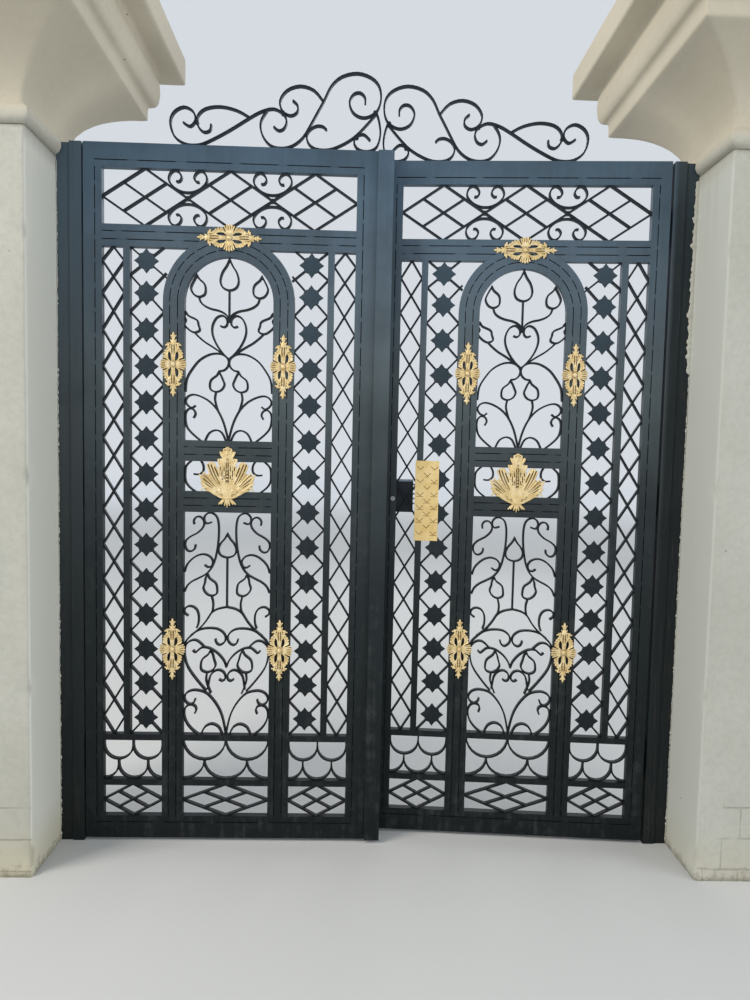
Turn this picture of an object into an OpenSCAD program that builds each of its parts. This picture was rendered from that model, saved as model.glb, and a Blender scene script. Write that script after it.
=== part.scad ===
// Double-leaf wrought iron entrance gate between two plastered piers.
// Origin on the ground midway between the piers, +X to the right, +Y inwards, +Z up.
// Each leaf is drawn in its own frame: x from its hinge edge, y from its front face, z from its foot.

/* [Gateway] */
// Clear width between the steel jambs
clear_w = 2008; // [1900:1:2200]
// Height of a leaf from foot to top rail
leaf_h = 2400; // [2300:1:2500]
// Gap under the leaves
ground_gap = 12; // [8:1:40]
// Gap between a leaf and its jamb
hinge_gap = 6; // [5:0.5:10]
// Gap between the two closed leaves
meeting_gap = 8; // [6:0.5:16]
// How far the right leaf stands open
ajar = 4.4; // [4.4:0.1:4.6]
// Front faces of the leaves behind the front of the piers
setback = 224; // [200:1:260]

/* [Piers] */
// Side of the square pier shaft
pier_w = 360; // [330:1:420]
// Neck of the piers below the top of the leaves
neck_drop = 50; // [20:1:100]
// Thickness of the bead under the neck
bead_h = 64; // [45:1:80]
// How far the bead stands out
bead_out = 28; // [15:1:35]
// Height of the plain neck above the bead
neck_h = 8; // [4:1:40]
// Height of the hollow flare
flare_h = 197; // [160:1:230]
// Hollowness of the flare, from a straight slope to a quarter round
flare_hollow = 0.6; // [0.4:0.05:0.9]
// How far the flare stands out at its upper edge
flare_out = 208; // [180:1:240]
// Height of the upright band over the flare
band_h = 55; // [40:1:80]
// Height of the round moulding under the slab
round_h = 132; // [100:1:150]
// How far the round moulding stands out
round_out = 246; // [225:1:270]
// How far the round moulding falls back at its two edges
round_back = 22; // [10:1:35]
// Height of the top slab
slab_h = 106; // [70:1:130]
// How far the top slab stands out
slab_out = 322; // [280:1:360]

/* [Jambs] */
// Width of the tube against the pier
jamb_outer_w = 43; // [30:1:60]
// Width of the tube beside the leaf
jamb_inner_w = 40; // [30:1:60]
// How far the outer tube stands back and below the inner one
jamb_step = 4; // [2:1:8]
// Gap between the outer tube and the bead that stops against it
stop_gap = 1; // [0.5:0.5:3]

/* [Leaf frame] */
// Depth of the main tubes
frame_d = 40; // [36:1:50]
// Width of the hinge stile tube
stile_w = 37; // [30:1:50]
// Width of the meeting stile tube
meeting_w = 53; // [45:1:70]
// Height of the top and bottom rail tubes
rail_h = 55.5; // [45:0.5:70]
// Width of the edging tube round each opening
edging_w = 24.5; // [20:0.5:30]
// Depth of the edging tubes
edging_d = 25; // [22:1:30]
// Width of the narrow lattice strips
lattice_w = 71; // [60:1:85]
// Width of the slender bars beside them
slim_w = 22.5; // [18:0.5:28]
// Width of the star strips
star_w = 111; // [100:1:125]
// Width of the arch posts with their edging
post_w = 72.5; // [65:0.5:80]
// Height of the transom rail with its edging
transom_rail_h = 73; // [65:1:80]
// Height of the transom opening
transom_h = 186; // [160:1:220]
// Springing of the arch below the transom rail
arch_drop = 176; // [150:1:200]
// Foot of the arched panel
arch_sill_z = 1415; // [1400:1:1500]
// Height of each cross rail with its edging
cross_rail_h = 72; // [65:1:75]
// Height of the opening behind the palmette
middle_h = 104; // [95:1:120]
// Height of the slender low rails
low_rail_h = 21.5; // [18:0.5:26]
// Width of the seam between a main tube and its edging
seam_w = 3; // [2:0.5:4]
// Depth of that seam
seam_d = 4; // [2:0.5:6]
// Height of the foot lattice opening
foot_h = 111; // [90:1:130]
// Height of the scallop opening
scallop_h = 142; // [120:1:160]

/* [Infill] */
// Thickness of the flat bars
bar_t = 6; // [4:0.5:7]
// Depth of the flat bars
bar_d = 16; // [12:1:20]
// Set-back of the flat bars behind the front of the leaf
bar_back = 4; // [3:0.5:5]
// Diamonds along each side strip
strip_count = 14; // [12:1:16]
// Height of the squeezed uppermost diamond
top_diamond_h = 92; // [80:1:120]
// Diamonds along the transom
transom_count = 3; // [2:1:4]
// Size of a star over its points
star_size = 84; // [70:1:90]
// Depth of the notches between the points, as a share of the points
star_notch = 0.7; // [0.6:0.01:0.75]
// Reach of the lesser points, as a share of the points
star_lesser = 0.79; // [0.76:0.01:0.85]
// Thickness of a star casting
star_t = 3.5; // [2:0.5:4]

/* [Castings and lock] */
// Length of a cartouche
cartouche_l = 218; // [200:1:230]
// Width of a cartouche
cartouche_w = 93; // [80:1:100]
// Thickness of a cartouche
cartouche_t = 7; // [5:0.5:10]
// Height of the two cartouches on a post
cartouche_zs = [684, 1671];
// Thickness of the palmette
palmette_t = 9; // [6:0.5:12]
// Width of the lock plate
plate_w = 84; // [75:1:90]
// Height of the lock plate
plate_h = 286; // [250:1:300]
// Thickness of the lock plate
plate_t = 4; // [3:0.5:5]
// How far the lock plate laps over the end of the slender bar
plate_lap = 4.5; // [0:0.5:8]
// Middle of the lock plate below the lock
plate_drop = 6; // [0:1:15]
// Height of the lock above the foot
lock_z = 1224; // [1150:1:1250]
// Height of the lock case
case_h = 118; // [100:1:150]
// Middle of the lock case above the lock
case_up = 9; // [0:1:20]
// How far the lock case reaches out of the edging tube
case_reach = 60; // [50:1:68]
// Thickness of the lock case
case_t = 30; // [24:1:36]
// Radius of the cylinder rose
rose_r = 10; // [8:1:12]

/* [Cover strip] */
// Width of the cover strip
cover_w = 54; // [48:1:58]
// Thickness of the cover strip
cover_t = 6; // [4:1:8]
// Gap between the cover strip and the closed right leaf
cover_gap = 5.5; // [5:0.5:8]
// Width of the packing under the cover strip
cover_foot_w = 8; // [6:1:10]

/* [Hinges] */
// Radius of a hinge barrel
barrel_r = 12; // [10:0.5:14]
// Gap between a barrel and the back of the leaf
barrel_gap = 5; // [5:0.5:8]
// Height of each of the two knuckles of a hinge
knuckle_h = 60; // [45:1:75]
// Gap between the knuckles
knuckle_gap = 1; // [0.5:0.5:2]
// Radius of the hinge pin
pin_r = 7; // [5:0.5:8]
// Radial clearance of the pin in its knuckle
pin_play = 0.1; // [0.05:0.01:0.1]
// Thickness of the welded ears
ear_t = 14; // [10:1:15]
// Length of the welded ears
ear_w = 46; // [38:1:50]
// Ears behind the edges of the jamb and the leaf
ear_inset = 2; // [1:0.5:4]
// Top of a pin below the top of its knuckle
pin_short = 6; // [3:1:12]
// Heights of the two lower hinges above the foot
low_hinge_zs = [230, 1180];
// Upper hinge below the top of the leaf
top_hinge_drop = 270; // [200:1:350]

/* [Hidden] */
$fn = 48;

steel = [0.27, 0.34, 0.40];
dark_steel = [0.12, 0.14, 0.16];
gold = [0.85, 0.74, 0.50];
plaster = [0.90, 0.86, 0.76];

// Places across the gateway
jamb_x = clear_w / 2;
pier_x = jamb_x + jamb_inner_w + jamb_outer_w;
leaf_x = jamb_x - hinge_gap;
leaf_w = leaf_x - meeting_gap / 2;
leaf_y = setback - pier_w / 2;
hinge_x = jamb_x - hinge_gap / 2;
hinge_y = leaf_y + frame_d + barrel_gap + barrel_r;
hinge_zs = concat(low_hinge_zs, [leaf_h - top_hinge_drop]);

// Places across a leaf
edge_l = stile_w + edging_w;
edge_r = leaf_w - meeting_w - edging_w;
mid_x = (edge_l + edge_r) / 2;
slim_x = edge_l + lattice_w;
star_x = slim_x + slim_w;
post_x = star_x + star_w;
arch_r = mid_x - post_x - post_w;
arch_outer_r = arch_r + post_w;

// Places up the piers and a leaf
neck_z = ground_gap + leaf_h - neck_drop;
foot_z = rail_h + edging_w;
low_rail_1 = foot_z + foot_h;
scallop_z = low_rail_1 + low_rail_h;
low_rail_2 = scallop_z + scallop_h;
panel_z = low_rail_2 + low_rail_h;
middle_top = arch_sill_z - cross_rail_h;
middle_z = middle_top - middle_h;
panel_top = middle_z - cross_rail_h;
top_z = leaf_h - rail_h - edging_w;
transom_z = top_z - transom_h;
strip_top = transom_z - transom_rail_h;
strip_h = strip_top - panel_z;
spring_z = strip_top - arch_drop;
bar_y = bar_back;
star_y = bar_back - star_t;

// Sizes of the drawn scroll patterns, which are stretched to their openings
drawn_r = 150.5;
drawn_panel = [376, 1166];
drawn_middle = [1240, 1345];
drawn_arch = [1415, 2035.5];
drawn_top = 2400;
drawn_leaf = 994;
drawn_transom = [285, 186];
overlap = 12;
tuck = 1.5;
weld_r = 7;
bow_leg = 4;
curve_steps = 3;

// Point between b and c on the smooth curve through a, b, c and d
function blend(a, b, c, d, t) =
    0.5 * (2 * b + (c - a) * t + (2 * a - 5 * b + 4 * c - d) * t * t
    + (3 * b - a - 3 * c + d) * t * t * t);
function smooth(p, n = curve_steps) = [
    for (i = [0:len(p) - 2]) for (k = [0:n - 1])
        blend(p[max(i - 1, 0)], p[i], p[i + 1], p[min(i + 2, len(p) - 1)], k / n),
    p[len(p) - 1]
];
function heading(c, i) =
    let (d = c[min(i + 1, len(c) - 1)] - c[max(i - 1, 0)]) d / norm(d);
function side(c, o) = [
    for (i = [0:len(c) - 1]) let (h = heading(c, i)) c[i] + o * [-h.y, h.x]
];
function reversed(l) = [for (i = [len(l) - 1:-1:0]) l[i]];

// Flat bar on edge along a line or a curve
module bar(c, t = bar_t) {
    polygon(concat(side(c, t / 2), reversed(side(c, -t / 2))));
}

module scroll(p) {
    bar(smooth(p));
}

module both_sides() {
    children();
    mirror([1, 0]) children();
}

// Extrudes a front view into the leaf, from depth y on
module sheet(y, depth) {
    translate([0, y + depth, 0]) rotate([90, 0, 0]) linear_extrude(depth) children();
}

module area(x0, z0, x1, z1) {
    translate([x0, z0]) square([x1 - x0, z1 - z0]);
}

// Bud bent from a bar: pointed tip, widest at its waist, round foot
module bud(tip, waist_z, half_w, foot, at) {
    rise = tip.y - waist_z;
    drop = waist_z - foot.y;
    wx = foot.x + (tip.x - foot.x) * drop / (rise + drop);
    right = [
        tip, [tip.x + 0.30 * half_w, tip.y - 0.30 * rise],
        [wx + 0.78 * half_w, waist_z + 0.38 * rise], [wx + half_w, waist_z],
        [foot.x + 0.74 * half_w, foot.y + 0.30 * drop], foot
    ];
    left = [
        [foot.x - 0.74 * half_w, foot.y + 0.30 * drop], [wx - half_w, waist_z],
        [wx - 0.78 * half_w, waist_z + 0.38 * rise],
        [tip.x - 0.30 * half_w, tip.y - 0.30 * rise], tip
    ];
    c = smooth(place(concat(right, left), at));
    down = place([[wx, waist_z]], at)[0] - c[0];
    difference() {
        polygon(bud_edge(c, bar_t / 2, 0, -bar_t * down / norm(down)));
        polygon(bud_edge(c, -bar_t / 2, 1, 1.5 * bar_t * down / norm(down)));
    }
}
// Outline beside the curve c, with its tip moved and the points next to the tip skipped
function bud_edge(c, o, skip, tip) =
    let (s = side(c, o), n = len(c))
    [c[0] + tip, for (i = [1 + skip:n - 2 - skip]) s[i]];

// Stretches drawn points to an opening: at = [foot, height factor, drawn foot]
function place(p, at) = [
    for (q = p) [q.x * arch_r / drawn_r, at[0] + (q.y - at[2]) * at[1]]
];
module drawn(p, at) {
    scroll(place(p, at));
}

// Piers
module at_pier(hand) {
    translate([hand * (pier_x + pier_w / 2), 0, 0]) children();
}

module pier() {
    translate([-pier_w / 2, -pier_w / 2, 0]) cube([pier_w, pier_w, neck_z]);
}

// Half-widths and heights of the capital from its bead to its slab
function capital_edge(n = 8) =
    let (r = pier_w / 2, z2 = bead_h + neck_h, z4 = z2 + flare_h + band_h, z5 = z4 + round_h)
    concat(
        [for (i = [0:n]) let (a = -90 + 180 * i / n)
            [r + bead_out * cos(a), bead_h / 2 * (1 + sin(a))]],
        [for (i = [0:n]) let (a = 90 * i / n, t = 1 - cos(a))
            [r + flare_out * t, z2 + flare_h * (t + flare_hollow * (sin(a) - t))]],
        [[r + flare_out, z4]],
        [for (i = [0:n]) let (a = -90 + 180 * i / n)
            [r + round_out - round_back * (1 - cos(a)), z4 + round_h / 2 * (1 + sin(a))]],
        [[r + slab_out, z5], [r + slab_out, z5 + slab_h]]
    );
// The bead stops against the jamb
module capital(hand) {
    e = capital_edge();
    outline = concat(e, reversed([for (q = e) [-q.x, q.y]]));
    span = 2 * (pier_w / 2 + slab_out) + 20;
    stop_w = bead_out + 10;
    translate([0, 0, neck_z]) difference() {
        intersection() {
            translate([0, span / 2, 0]) rotate([90, 0, 0]) linear_extrude(span) polygon(outline);
            rotate([0, 0, 90]) translate([0, span / 2, 0])
                rotate([90, 0, 0]) linear_extrude(span) polygon(outline);
        }
        translate([hand > 0 ? -pier_w / 2 - stop_w : pier_w / 2, leaf_y + jamb_step - stop_gap, -1])
            cube([stop_w, frame_d - jamb_step + 2 * stop_gap, bead_h + 1]);
    }
}

module jamb(hand) {
    h = ground_gap + leaf_h;
    for (b = [[jamb_x, jamb_inner_w, 0], [jamb_x + jamb_inner_w, jamb_outer_w, jamb_step]])
        translate([hand > 0 ? b[0] : -b[0] - b[1], leaf_y + b[2], 0])
            cube([b[1], frame_d - b[2], h - b[2]]);
}

module pins(hand) {
    for (z = hinge_zs) translate([hand * hinge_x, hinge_y, ground_gap + z]) {
        cylinder(h = knuckle_h, r = barrel_r);
        cylinder(h = 2 * knuckle_h - pin_short, r = pin_r);
        x = hinge_gap / 2 + ear_inset;
        translate([hand > 0 ? x : -x - ear_w, -barrel_gap - barrel_r, 0]) cube([ear_w, ear_t, knuckle_h]);
    }
}

// Leaf pieces, in the frame of a leaf
module knuckles() {
    for (z = hinge_zs)
        translate([-hinge_gap / 2, frame_d + barrel_gap + barrel_r, z + knuckle_h + knuckle_gap])
            difference() {
                union() {
                    cylinder(h = knuckle_h, r = barrel_r);
                    translate([hinge_gap / 2 + ear_inset, -barrel_gap - barrel_r, 0])
                        cube([ear_w, ear_t, knuckle_h]);
                }
                translate([0, 0, -1]) cylinder(h = knuckle_h + 2, r = pin_r + pin_play);
            }
}

// Front view set back by the depth of a seam
module seam() {
    sheet(seam_d, edging_d - seam_d) children();
}

module hinge_stile() {
    sheet(0, frame_d) area(0, 0, stile_w, leaf_h);
    seam() area(stile_w, foot_z, stile_w + seam_w, top_z);
    sheet(0, edging_d) area(stile_w + seam_w, foot_z, edge_l, top_z);
}

module meeting_stile() {
    x = edge_r + edging_w;
    sheet(0, frame_d) area(x, 0, leaf_w, leaf_h);
    seam() area(x - seam_w, foot_z, x, top_z);
    sheet(0, edging_d) area(edge_r, foot_z, x - seam_w, top_z);
}

module cover_strip() {
    x = leaf_w - cover_foot_w;
    sheet(-cover_gap, cover_gap) area(x, 0, leaf_w, leaf_h);
    sheet(-cover_gap - cover_t, cover_t) area(x, 0, x + cover_w, leaf_h);
}

module top_rail() {
    z = leaf_h - rail_h;
    sheet(0, frame_d) area(stile_w, z, edge_r + edging_w, leaf_h);
    seam() area(stile_w, z - seam_w, edge_r + edging_w, z);
    sheet(0, edging_d) area(stile_w, top_z, edge_r + edging_w, z - seam_w);
}

module transom_rail() {
    z0 = strip_top + edging_w;
    z1 = transom_z - edging_w;
    sheet(0, frame_d) area(edge_l, z0, edge_r, z1);
    seam() area(edge_l, z1, edge_r, z1 + seam_w);
    sheet(0, edging_d) area(edge_l, z1 + seam_w, edge_r, transom_z);
    seam() difference() {
        area(edge_l, z0 - seam_w, edge_r, z0);
        arch_shape(arch_outer_r);
    }
    sheet(0, edging_d) difference() {
        area(edge_l, strip_top, edge_r, z0 - seam_w);
        arch_shape(arch_outer_r);
    }
}

module low_rails() {
    sheet(0, frame_d) area(stile_w, 0, edge_r + edging_w, rail_h);
    seam() area(stile_w, rail_h, edge_r + edging_w, rail_h + seam_w);
    sheet(0, edging_d) area(stile_w, rail_h + seam_w, edge_r + edging_w, foot_z);
    sheet(0, edging_d) for (z = [low_rail_1, low_rail_2]) {
        area(edge_l, z, post_x, z + low_rail_h);
        area(post_x + post_w, z, 2 * mid_x - post_x - post_w, z + low_rail_h);
        area(2 * mid_x - post_x, z, edge_r, z + low_rail_h);
    }
}

// Round-headed shape of half-width r over the centre panel
module arch_shape(r, z = 0) {
    translate([mid_x, spring_z]) circle(r, $fn = 96);
    area(mid_x - r, z, mid_x + r, spring_z);
}

// Ring of the arched frame between two half-widths, with its posts down to the foot rail
module arch_ring(outer, inner) {
    intersection() {
        difference() {
            arch_shape(outer);
            arch_shape(inner);
        }
        area(edge_l, foot_z, edge_r, strip_top + edging_w);
    }
}

module arch_frame() {
    r0 = arch_outer_r - edging_w;
    r1 = arch_r + edging_w;
    difference() {
        union() {
            sheet(0, edging_d) arch_ring(arch_outer_r, arch_r);
            sheet(edging_d, frame_d - edging_d) arch_ring(r0, r1);
        }
        sheet(-1, seam_d + 1) {
            arch_ring(r0 + seam_w, r0);
            arch_ring(r1, r1 - seam_w);
        }
    }
    for (z = [panel_top, middle_top]) {
        z0 = z + edging_w;
        z1 = z + cross_rail_h - edging_w;
        difference() {
            sheet(0, edging_d) area(mid_x - arch_r, z, mid_x + arch_r, z + cross_rail_h);
            sheet(-1, seam_d + 1) for (line = [z0 - seam_w, z1])
                area(mid_x - arch_r - 1, line, mid_x + arch_r + 1, line + seam_w);
        }
        sheet(edging_d, frame_d - edging_d) area(mid_x - r1, z0, mid_x + r1, z1);
    }
}

module slim_bars() {
    for (x = [slim_x, 2 * mid_x - star_x])
        sheet(0, edging_d) area(x, panel_z, x + slim_w, strip_top);
}

// Edges of the diamonds up a strip, the last of them of its own height
function diamond_zs(last) =
    let (h = (strip_h - last) / (strip_count - 1))
    [for (i = [0:strip_count - 1]) panel_z + h * i, strip_top];
// Crossed bars from side to side between the heights zs
module crossed_strip(x0, x1, zs) {
    for (i = [1:len(zs) - 1]) {
        stretch([x0 - tuck, zs[i - 1]], [x1 + tuck, zs[i]]);
        stretch([x0 - tuck, zs[i]], [x1 + tuck, zs[i - 1]]);
    }
}
// Wide diamonds along an opening, each with a small cross in it
module diamond_band(x0, z0, x1, z1, count) {
    w = (x1 - x0 + 2 * tuck) / count;
    h = (z1 - z0) / 2 + tuck;
    zm = (z0 + z1) / 2;
    for (i = [0:count], s = [-1, 1])
        stretch([x0 - tuck + w * (i - 0.5), zm - s * h], [x0 - tuck + w * (i + 0.5), zm + s * h]);
    for (i = [0:count - 1], s = [-1, 1]) {
        x = x0 - tuck + w * (i + 0.5);
        bar([[x - w / 4, zm - s * h / 2], [x + w / 4, zm + s * h / 2]]);
    }
}
// Bar between two points, run on into the frame at both ends
module stretch(a, b) {
    d = (b - a) / norm(b - a);
    bar([a - overlap * d, b + overlap * d]);
}

// Whole curve from its right half, which starts on the centre line
function whole(p) = concat([for (q = reversed(p)) if (q.x > 0) [-q.x, q.y]], p);

// Pair of curled bars back to back, with x and z factors k
module transom_c(x, k) {
    half = [[0, 19], [22, 22], [44, 33], [60, 50], [64, 66], [57, 83], [43, 91],
        [28, 83], [21, 67], [29, 55], [39, 55]];
    for (s = [-1, 1])
        scroll([for (q = whole(half)) [x + k.x * q.x, (transom_z + top_z) / 2 + s * k.y * q.y]]);
}

module transom_lattice() {
    w = (edge_r - edge_l) / transom_count;
    k = [w / drawn_transom.x, transom_h / drawn_transom.y];
    sheet(bar_y, bar_d) intersection() {
        area(edge_l, transom_z, edge_r, top_z);
        union() {
            diamond_band(edge_l, transom_z, edge_r, top_z, transom_count);
            for (i = [1:transom_count - 1]) {
                transom_c(edge_l + w * i, k);
                translate([edge_l + w * i, (transom_z + top_z) / 2]) circle(weld_r);
            }
        }
    }
}

// Crossings stand at the edges of the diamonds
module side_lattice(last) {
    edges = diamond_zs(last);
    first_h = edges[1] - edges[0];
    zs = concat(
        [panel_z - first_h / 2 - tuck],
        [for (i = [1:strip_count]) (edges[i - 1] + edges[i]) / 2],
        [strip_top + last / 2 + tuck]
    );
    for (x = [edge_l, 2 * mid_x - slim_x]) sheet(bar_y, bar_d) intersection() {
        area(x, panel_z, x + lattice_w, strip_top);
        crossed_strip(x, x + lattice_w, zs);
    }
}

function star_edge() = [
    for (i = [0:15]) let (a = 22.5 * i, k = i % 4 == 0 ? 1 : i % 2 == 1 ? star_notch : star_lesser)
        star_size / 2 * k * [cos(a), sin(a)]
];

module star_lattice() {
    zs = diamond_zs(top_diamond_h);
    clip_zs = [for (i = [0:strip_count]) i == 0 ? zs[0] - tuck : i == strip_count ? zs[i] + tuck : zs[i]];
    for (x = [star_x, 2 * mid_x - post_x]) {
        sheet(bar_y, bar_d) intersection() {
            difference() {
                area(star_x, panel_z, 2 * mid_x - star_x, strip_top);
                arch_shape(arch_outer_r, panel_z);
            }
            crossed_strip(x, x + star_w, clip_zs);
        }
        for (i = [1:strip_count])
            translate([x + star_w / 2, 0, (zs[i - 1] + zs[i]) / 2])
                sheet(star_y, star_t) polygon(star_edge());
    }
}

// Scrolls of the tall lower panel, drawn for half a panel
module lower_half(at) {
    drawn([[55, 1131], [72, 1126], [81, 1137], [79, 1152], [66, 1163], [50, 1161], [37, 1149],
        [31, 1125], [30, 1090], [33, 1050], [38, 1020], [44, 995], [55, 970], [73, 949],
        [97, 935], [122, 922], [139, 906], [148, 885]], at);
    drawn([[115, 1122], [117, 1136], [108, 1148], [95, 1149], [84, 1139], [81, 1124],
        [88, 1108], [105, 1092], [127, 1080], [143, 1066], [147, 1048], [139, 1031],
        [125, 1028], [113, 1038], [111, 1052]], at);
    drawn([[148, 955], [140, 980], [123, 1000], [102, 1014], [80, 1018], [60, 1010],
        [50, 994], [54, 978], [66, 973], [79, 981]], at);
    bud([68, 949], 898, 24, [54, 872], at);
    drawn([[54, 872], [48, 847], [50, 820], [58, 806]], at);
    drawn([[0, 833], [31, 826], [53, 812], [70, 786], [88, 763], [107, 745], [128, 726],
        [141, 712], [148, 695]], at);
    drawn([[134, 800], [147, 810], [147, 824], [134, 834], [117, 832], [104, 820],
        [98, 800], [99, 775], [105, 758]], at);
    drawn([[125, 731], [101, 748], [75, 756], [48, 757], [28, 753], [12, 742], [4, 728],
        [5, 713], [14, 702], [26, 698], [36, 706], [40, 719]], at);
    drawn([[0, 618], [8, 640], [25, 662], [45, 678], [65, 687], [85, 688], [98, 679],
        [109, 670], [118, 678]], at);
    drawn([[78, 690], [92, 704], [106, 713], [121, 713], [135, 705], [145, 690], [147, 665],
        [141, 632], [128, 605], [107, 576], [85, 549], [70, 533]], at);
    bud([56, 680], 625, 26, [68, 599], at);
    drawn([[68, 599], [71, 573], [63, 546], [54, 524]], at);
    drawn([[65, 539], [62, 560], [57, 585], [44, 602], [27, 608], [12, 602], [4, 589],
        [5, 575], [15, 569], [26, 575]], at);
    drawn([[0, 374], [8, 418], [18, 453], [34, 484], [54, 510], [73, 526], [95, 533],
        [118, 534], [138, 525], [147, 508], [141, 491], [126, 483], [113, 491], [109, 503]], at);
    drawn([[110, 451], [105, 464], [110, 477], [123, 482], [138, 477], [147, 460],
        [146, 436], [136, 412], [117, 390], [96, 374]], at);
    drawn([[12, 374], [26, 402], [50, 413], [74, 402], [88, 374]], at);
}

module lower_scrolls() {
    at = [panel_z, (panel_top - panel_z) / (drawn_panel[1] - drawn_panel[0]), drawn_panel[0]];
    sheet(bar_y, bar_d) intersection() {
        area(mid_x - arch_r, panel_z, mid_x + arch_r, panel_top);
        translate([mid_x, 0]) union() {
            both_sides() lower_half(at);
            bud([0, 1091], 1034, 31, [0, 1008], at);
            bar(place([[0, 1008], [0, 832]], at));
        }
    }
}

// Scrolls of the arched panel, drawn for half a panel
module arch_half(at) {
    bud([110, 1975], 1930, 25, [103, 1902], at);
    drawn([[103, 1902], [97, 1884], [82, 1871], [60, 1862], [36, 1857], [16, 1848],
        [5, 1836], [0, 1822]], at);
    drawn([[30, 1806], [17, 1802], [7, 1812], [9, 1830], [24, 1841], [44, 1832], [57, 1805],
        [56, 1775], [42, 1742], [20, 1712], [0, 1694]], at);
    bud([146, 1850], 1808, 24, [118, 1782], at);
    drawn([[118, 1782], [104, 1768], [82, 1750], [57, 1735], [30, 1717], [8, 1700]], at);
    drawn([[148, 1580], [143, 1625], [122, 1662], [98, 1690], [64, 1709], [32, 1712],
        [10, 1702], [1, 1687], [4, 1669], [17, 1656], [33, 1653]], at);
    bud([34, 1651], 1607, 25, [43, 1582], at);
    drawn([[43, 1582], [47, 1559], [42, 1535], [34, 1512]], at);
    drawn([[0, 1413], [10, 1455], [22, 1490], [41, 1524], [66, 1549], [95, 1565],
        [121, 1571], [139, 1564], [147, 1549], [140, 1534], [125, 1526], [113, 1534]], at);
    drawn([[120, 1491], [113, 1505], [119, 1519], [133, 1523], [145, 1512], [148, 1490],
        [142, 1460], [122, 1436], [94, 1413]], at);
    drawn([[8, 1413], [22, 1442], [43, 1451], [66, 1440], [80, 1413]], at);
}

module upper_scrolls() {
    arch_at = [arch_sill_z, (spring_z + arch_r - arch_sill_z) / (drawn_arch[1] - drawn_arch[0]), drawn_arch[0]];
    middle_at = [middle_z, middle_h / (drawn_middle[1] - drawn_middle[0]), drawn_middle[0]];
    sheet(bar_y, bar_d) intersection() {
        arch_shape(arch_r, arch_sill_z);
        translate([mid_x, 0]) union() {
            both_sides() arch_half(arch_at);
            bud([0, 2031], 1958, 31, [0, 1926], arch_at);
            bar(place([[0, 1926], [0, 1818]], arch_at));
        }
    }
    sheet(bar_y, bar_d) intersection() {
        area(mid_x - arch_r, middle_z, mid_x + arch_r, middle_top);
        translate([mid_x, 0]) both_sides() {
            drawn([[124, 1348], [144, 1328], [148, 1303], [146, 1275], [132, 1254], [108, 1236]],
                middle_at);
            drawn([[94, 1348], [85, 1330], [86, 1310], [100, 1299], [118, 1300]], middle_at);
        }
    }
}

// Row of hanging bows of half-width r at the places xs, with legs from height z
module bows(xs, z, r, bottom) {
    h = min(r, z - bottom - bow_leg);
    difference() {
        for (x = xs) polygon(bow_edge([x, bottom + h], z, [r + bar_t / 2, h + bar_t / 2]));
        for (x = xs) polygon(bow_edge([x, bottom + h], z + 1, [r - bar_t / 2, h - bar_t / 2]));
    }
}
function bow_edge(c, z, r, n = 12) = concat(
    [[c.x - r.x, z]],
    [for (i = [0:n]) let (a = 180 + 180 * i / n) [c.x + r.x * cos(a), c.y + r.y * sin(a)]],
    [[c.x + r.x, z]]
);

// Two rows of bows over a band with one wide diamond
module foot_bay(x0, x1) {
    w = (x1 - x0) / 2;
    z1 = low_rail_2 - scallop_h / 2;
    intersection() {
        area(x0, scallop_z, x1, low_rail_2);
        union() {
            bows([x0 + w / 2, x1 - w / 2], low_rail_2 + w, w / 2, z1);
            bows([x0, x0 + w, x1], z1, w / 2, scallop_z + bar_t / 4);
        }
    }
    intersection() {
        area(x0, foot_z, x1, low_rail_1);
        diamond_band(x0, foot_z, x1, low_rail_1, 1);
    }
}

module foot_panel() {
    sheet(bar_y, bar_d) {
        foot_bay(edge_l, post_x);
        foot_bay(post_x + post_w, 2 * mid_x - post_x - post_w);
        foot_bay(2 * mid_x - post_x, edge_r);
    }
}

// Scrolls over the top rail, drawn from the hinge edge
function crest(p) = [for (q = p) [q.x * leaf_w / drawn_leaf, q.y - drawn_top + leaf_h]];
module cresting() {
    sheet(bar_y, bar_d) intersection() {
        area(-leaf_w, leaf_h, 2 * leaf_w, 2 * leaf_h);
        union() {
            scroll(crest([[330, 2475], [353, 2463], [371, 2484], [362, 2512], [332, 2525],
                [300, 2508], [287, 2475], [300, 2430], [335, 2406], [375, 2403], [411, 2414],
                [481, 2452], [550, 2496], [591, 2519], [632, 2529], [664, 2513], [675, 2490],
                [667, 2467], [649, 2459], [632, 2471]]));
            scroll(crest([[553, 2497], [510, 2519], [455, 2530], [405, 2522], [379, 2498],
                [379, 2466], [398, 2446], [419, 2452], [423, 2472]]));
            scroll(crest([[610, 2523], [592, 2495], [588, 2465], [600, 2432], [625, 2408],
                [660, 2402], [696, 2411], [730, 2438], [756, 2481], [778, 2522], [800, 2562],
                [823, 2609], [858, 2641], [910, 2654], [957, 2641], [984, 2614], [991, 2574],
                [980, 2536], [951, 2514], [922, 2512], [896, 2528], [885, 2560], [899, 2586],
                [921, 2591], [937, 2576], [938, 2556]]));
            scroll(crest([[798, 2558], [765, 2594], [719, 2606], [675, 2590], [652, 2555],
                [661, 2522], [688, 2509], [710, 2521], [711, 2543], [695, 2558]]));
            scroll(crest([[810, 2466], [797, 2477], [776, 2478], [755, 2466], [743, 2444],
                [751, 2418], [776, 2403], [817, 2402], [858, 2417], [899, 2442], [935, 2477],
                [974, 2522]]));
            scroll(crest([[957, 2437], [935, 2456], [910, 2448], [903, 2426], [919, 2406],
                [951, 2401], [980, 2417], [991, 2458], [986, 2500], [976, 2530]]));
            // Welds where the scrolls touch
            for (p = crest([[375, 2478], [662, 2517], [912, 2447], [972, 2527]])) translate(p)
                circle(weld_r);
        }
    }
}

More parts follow.
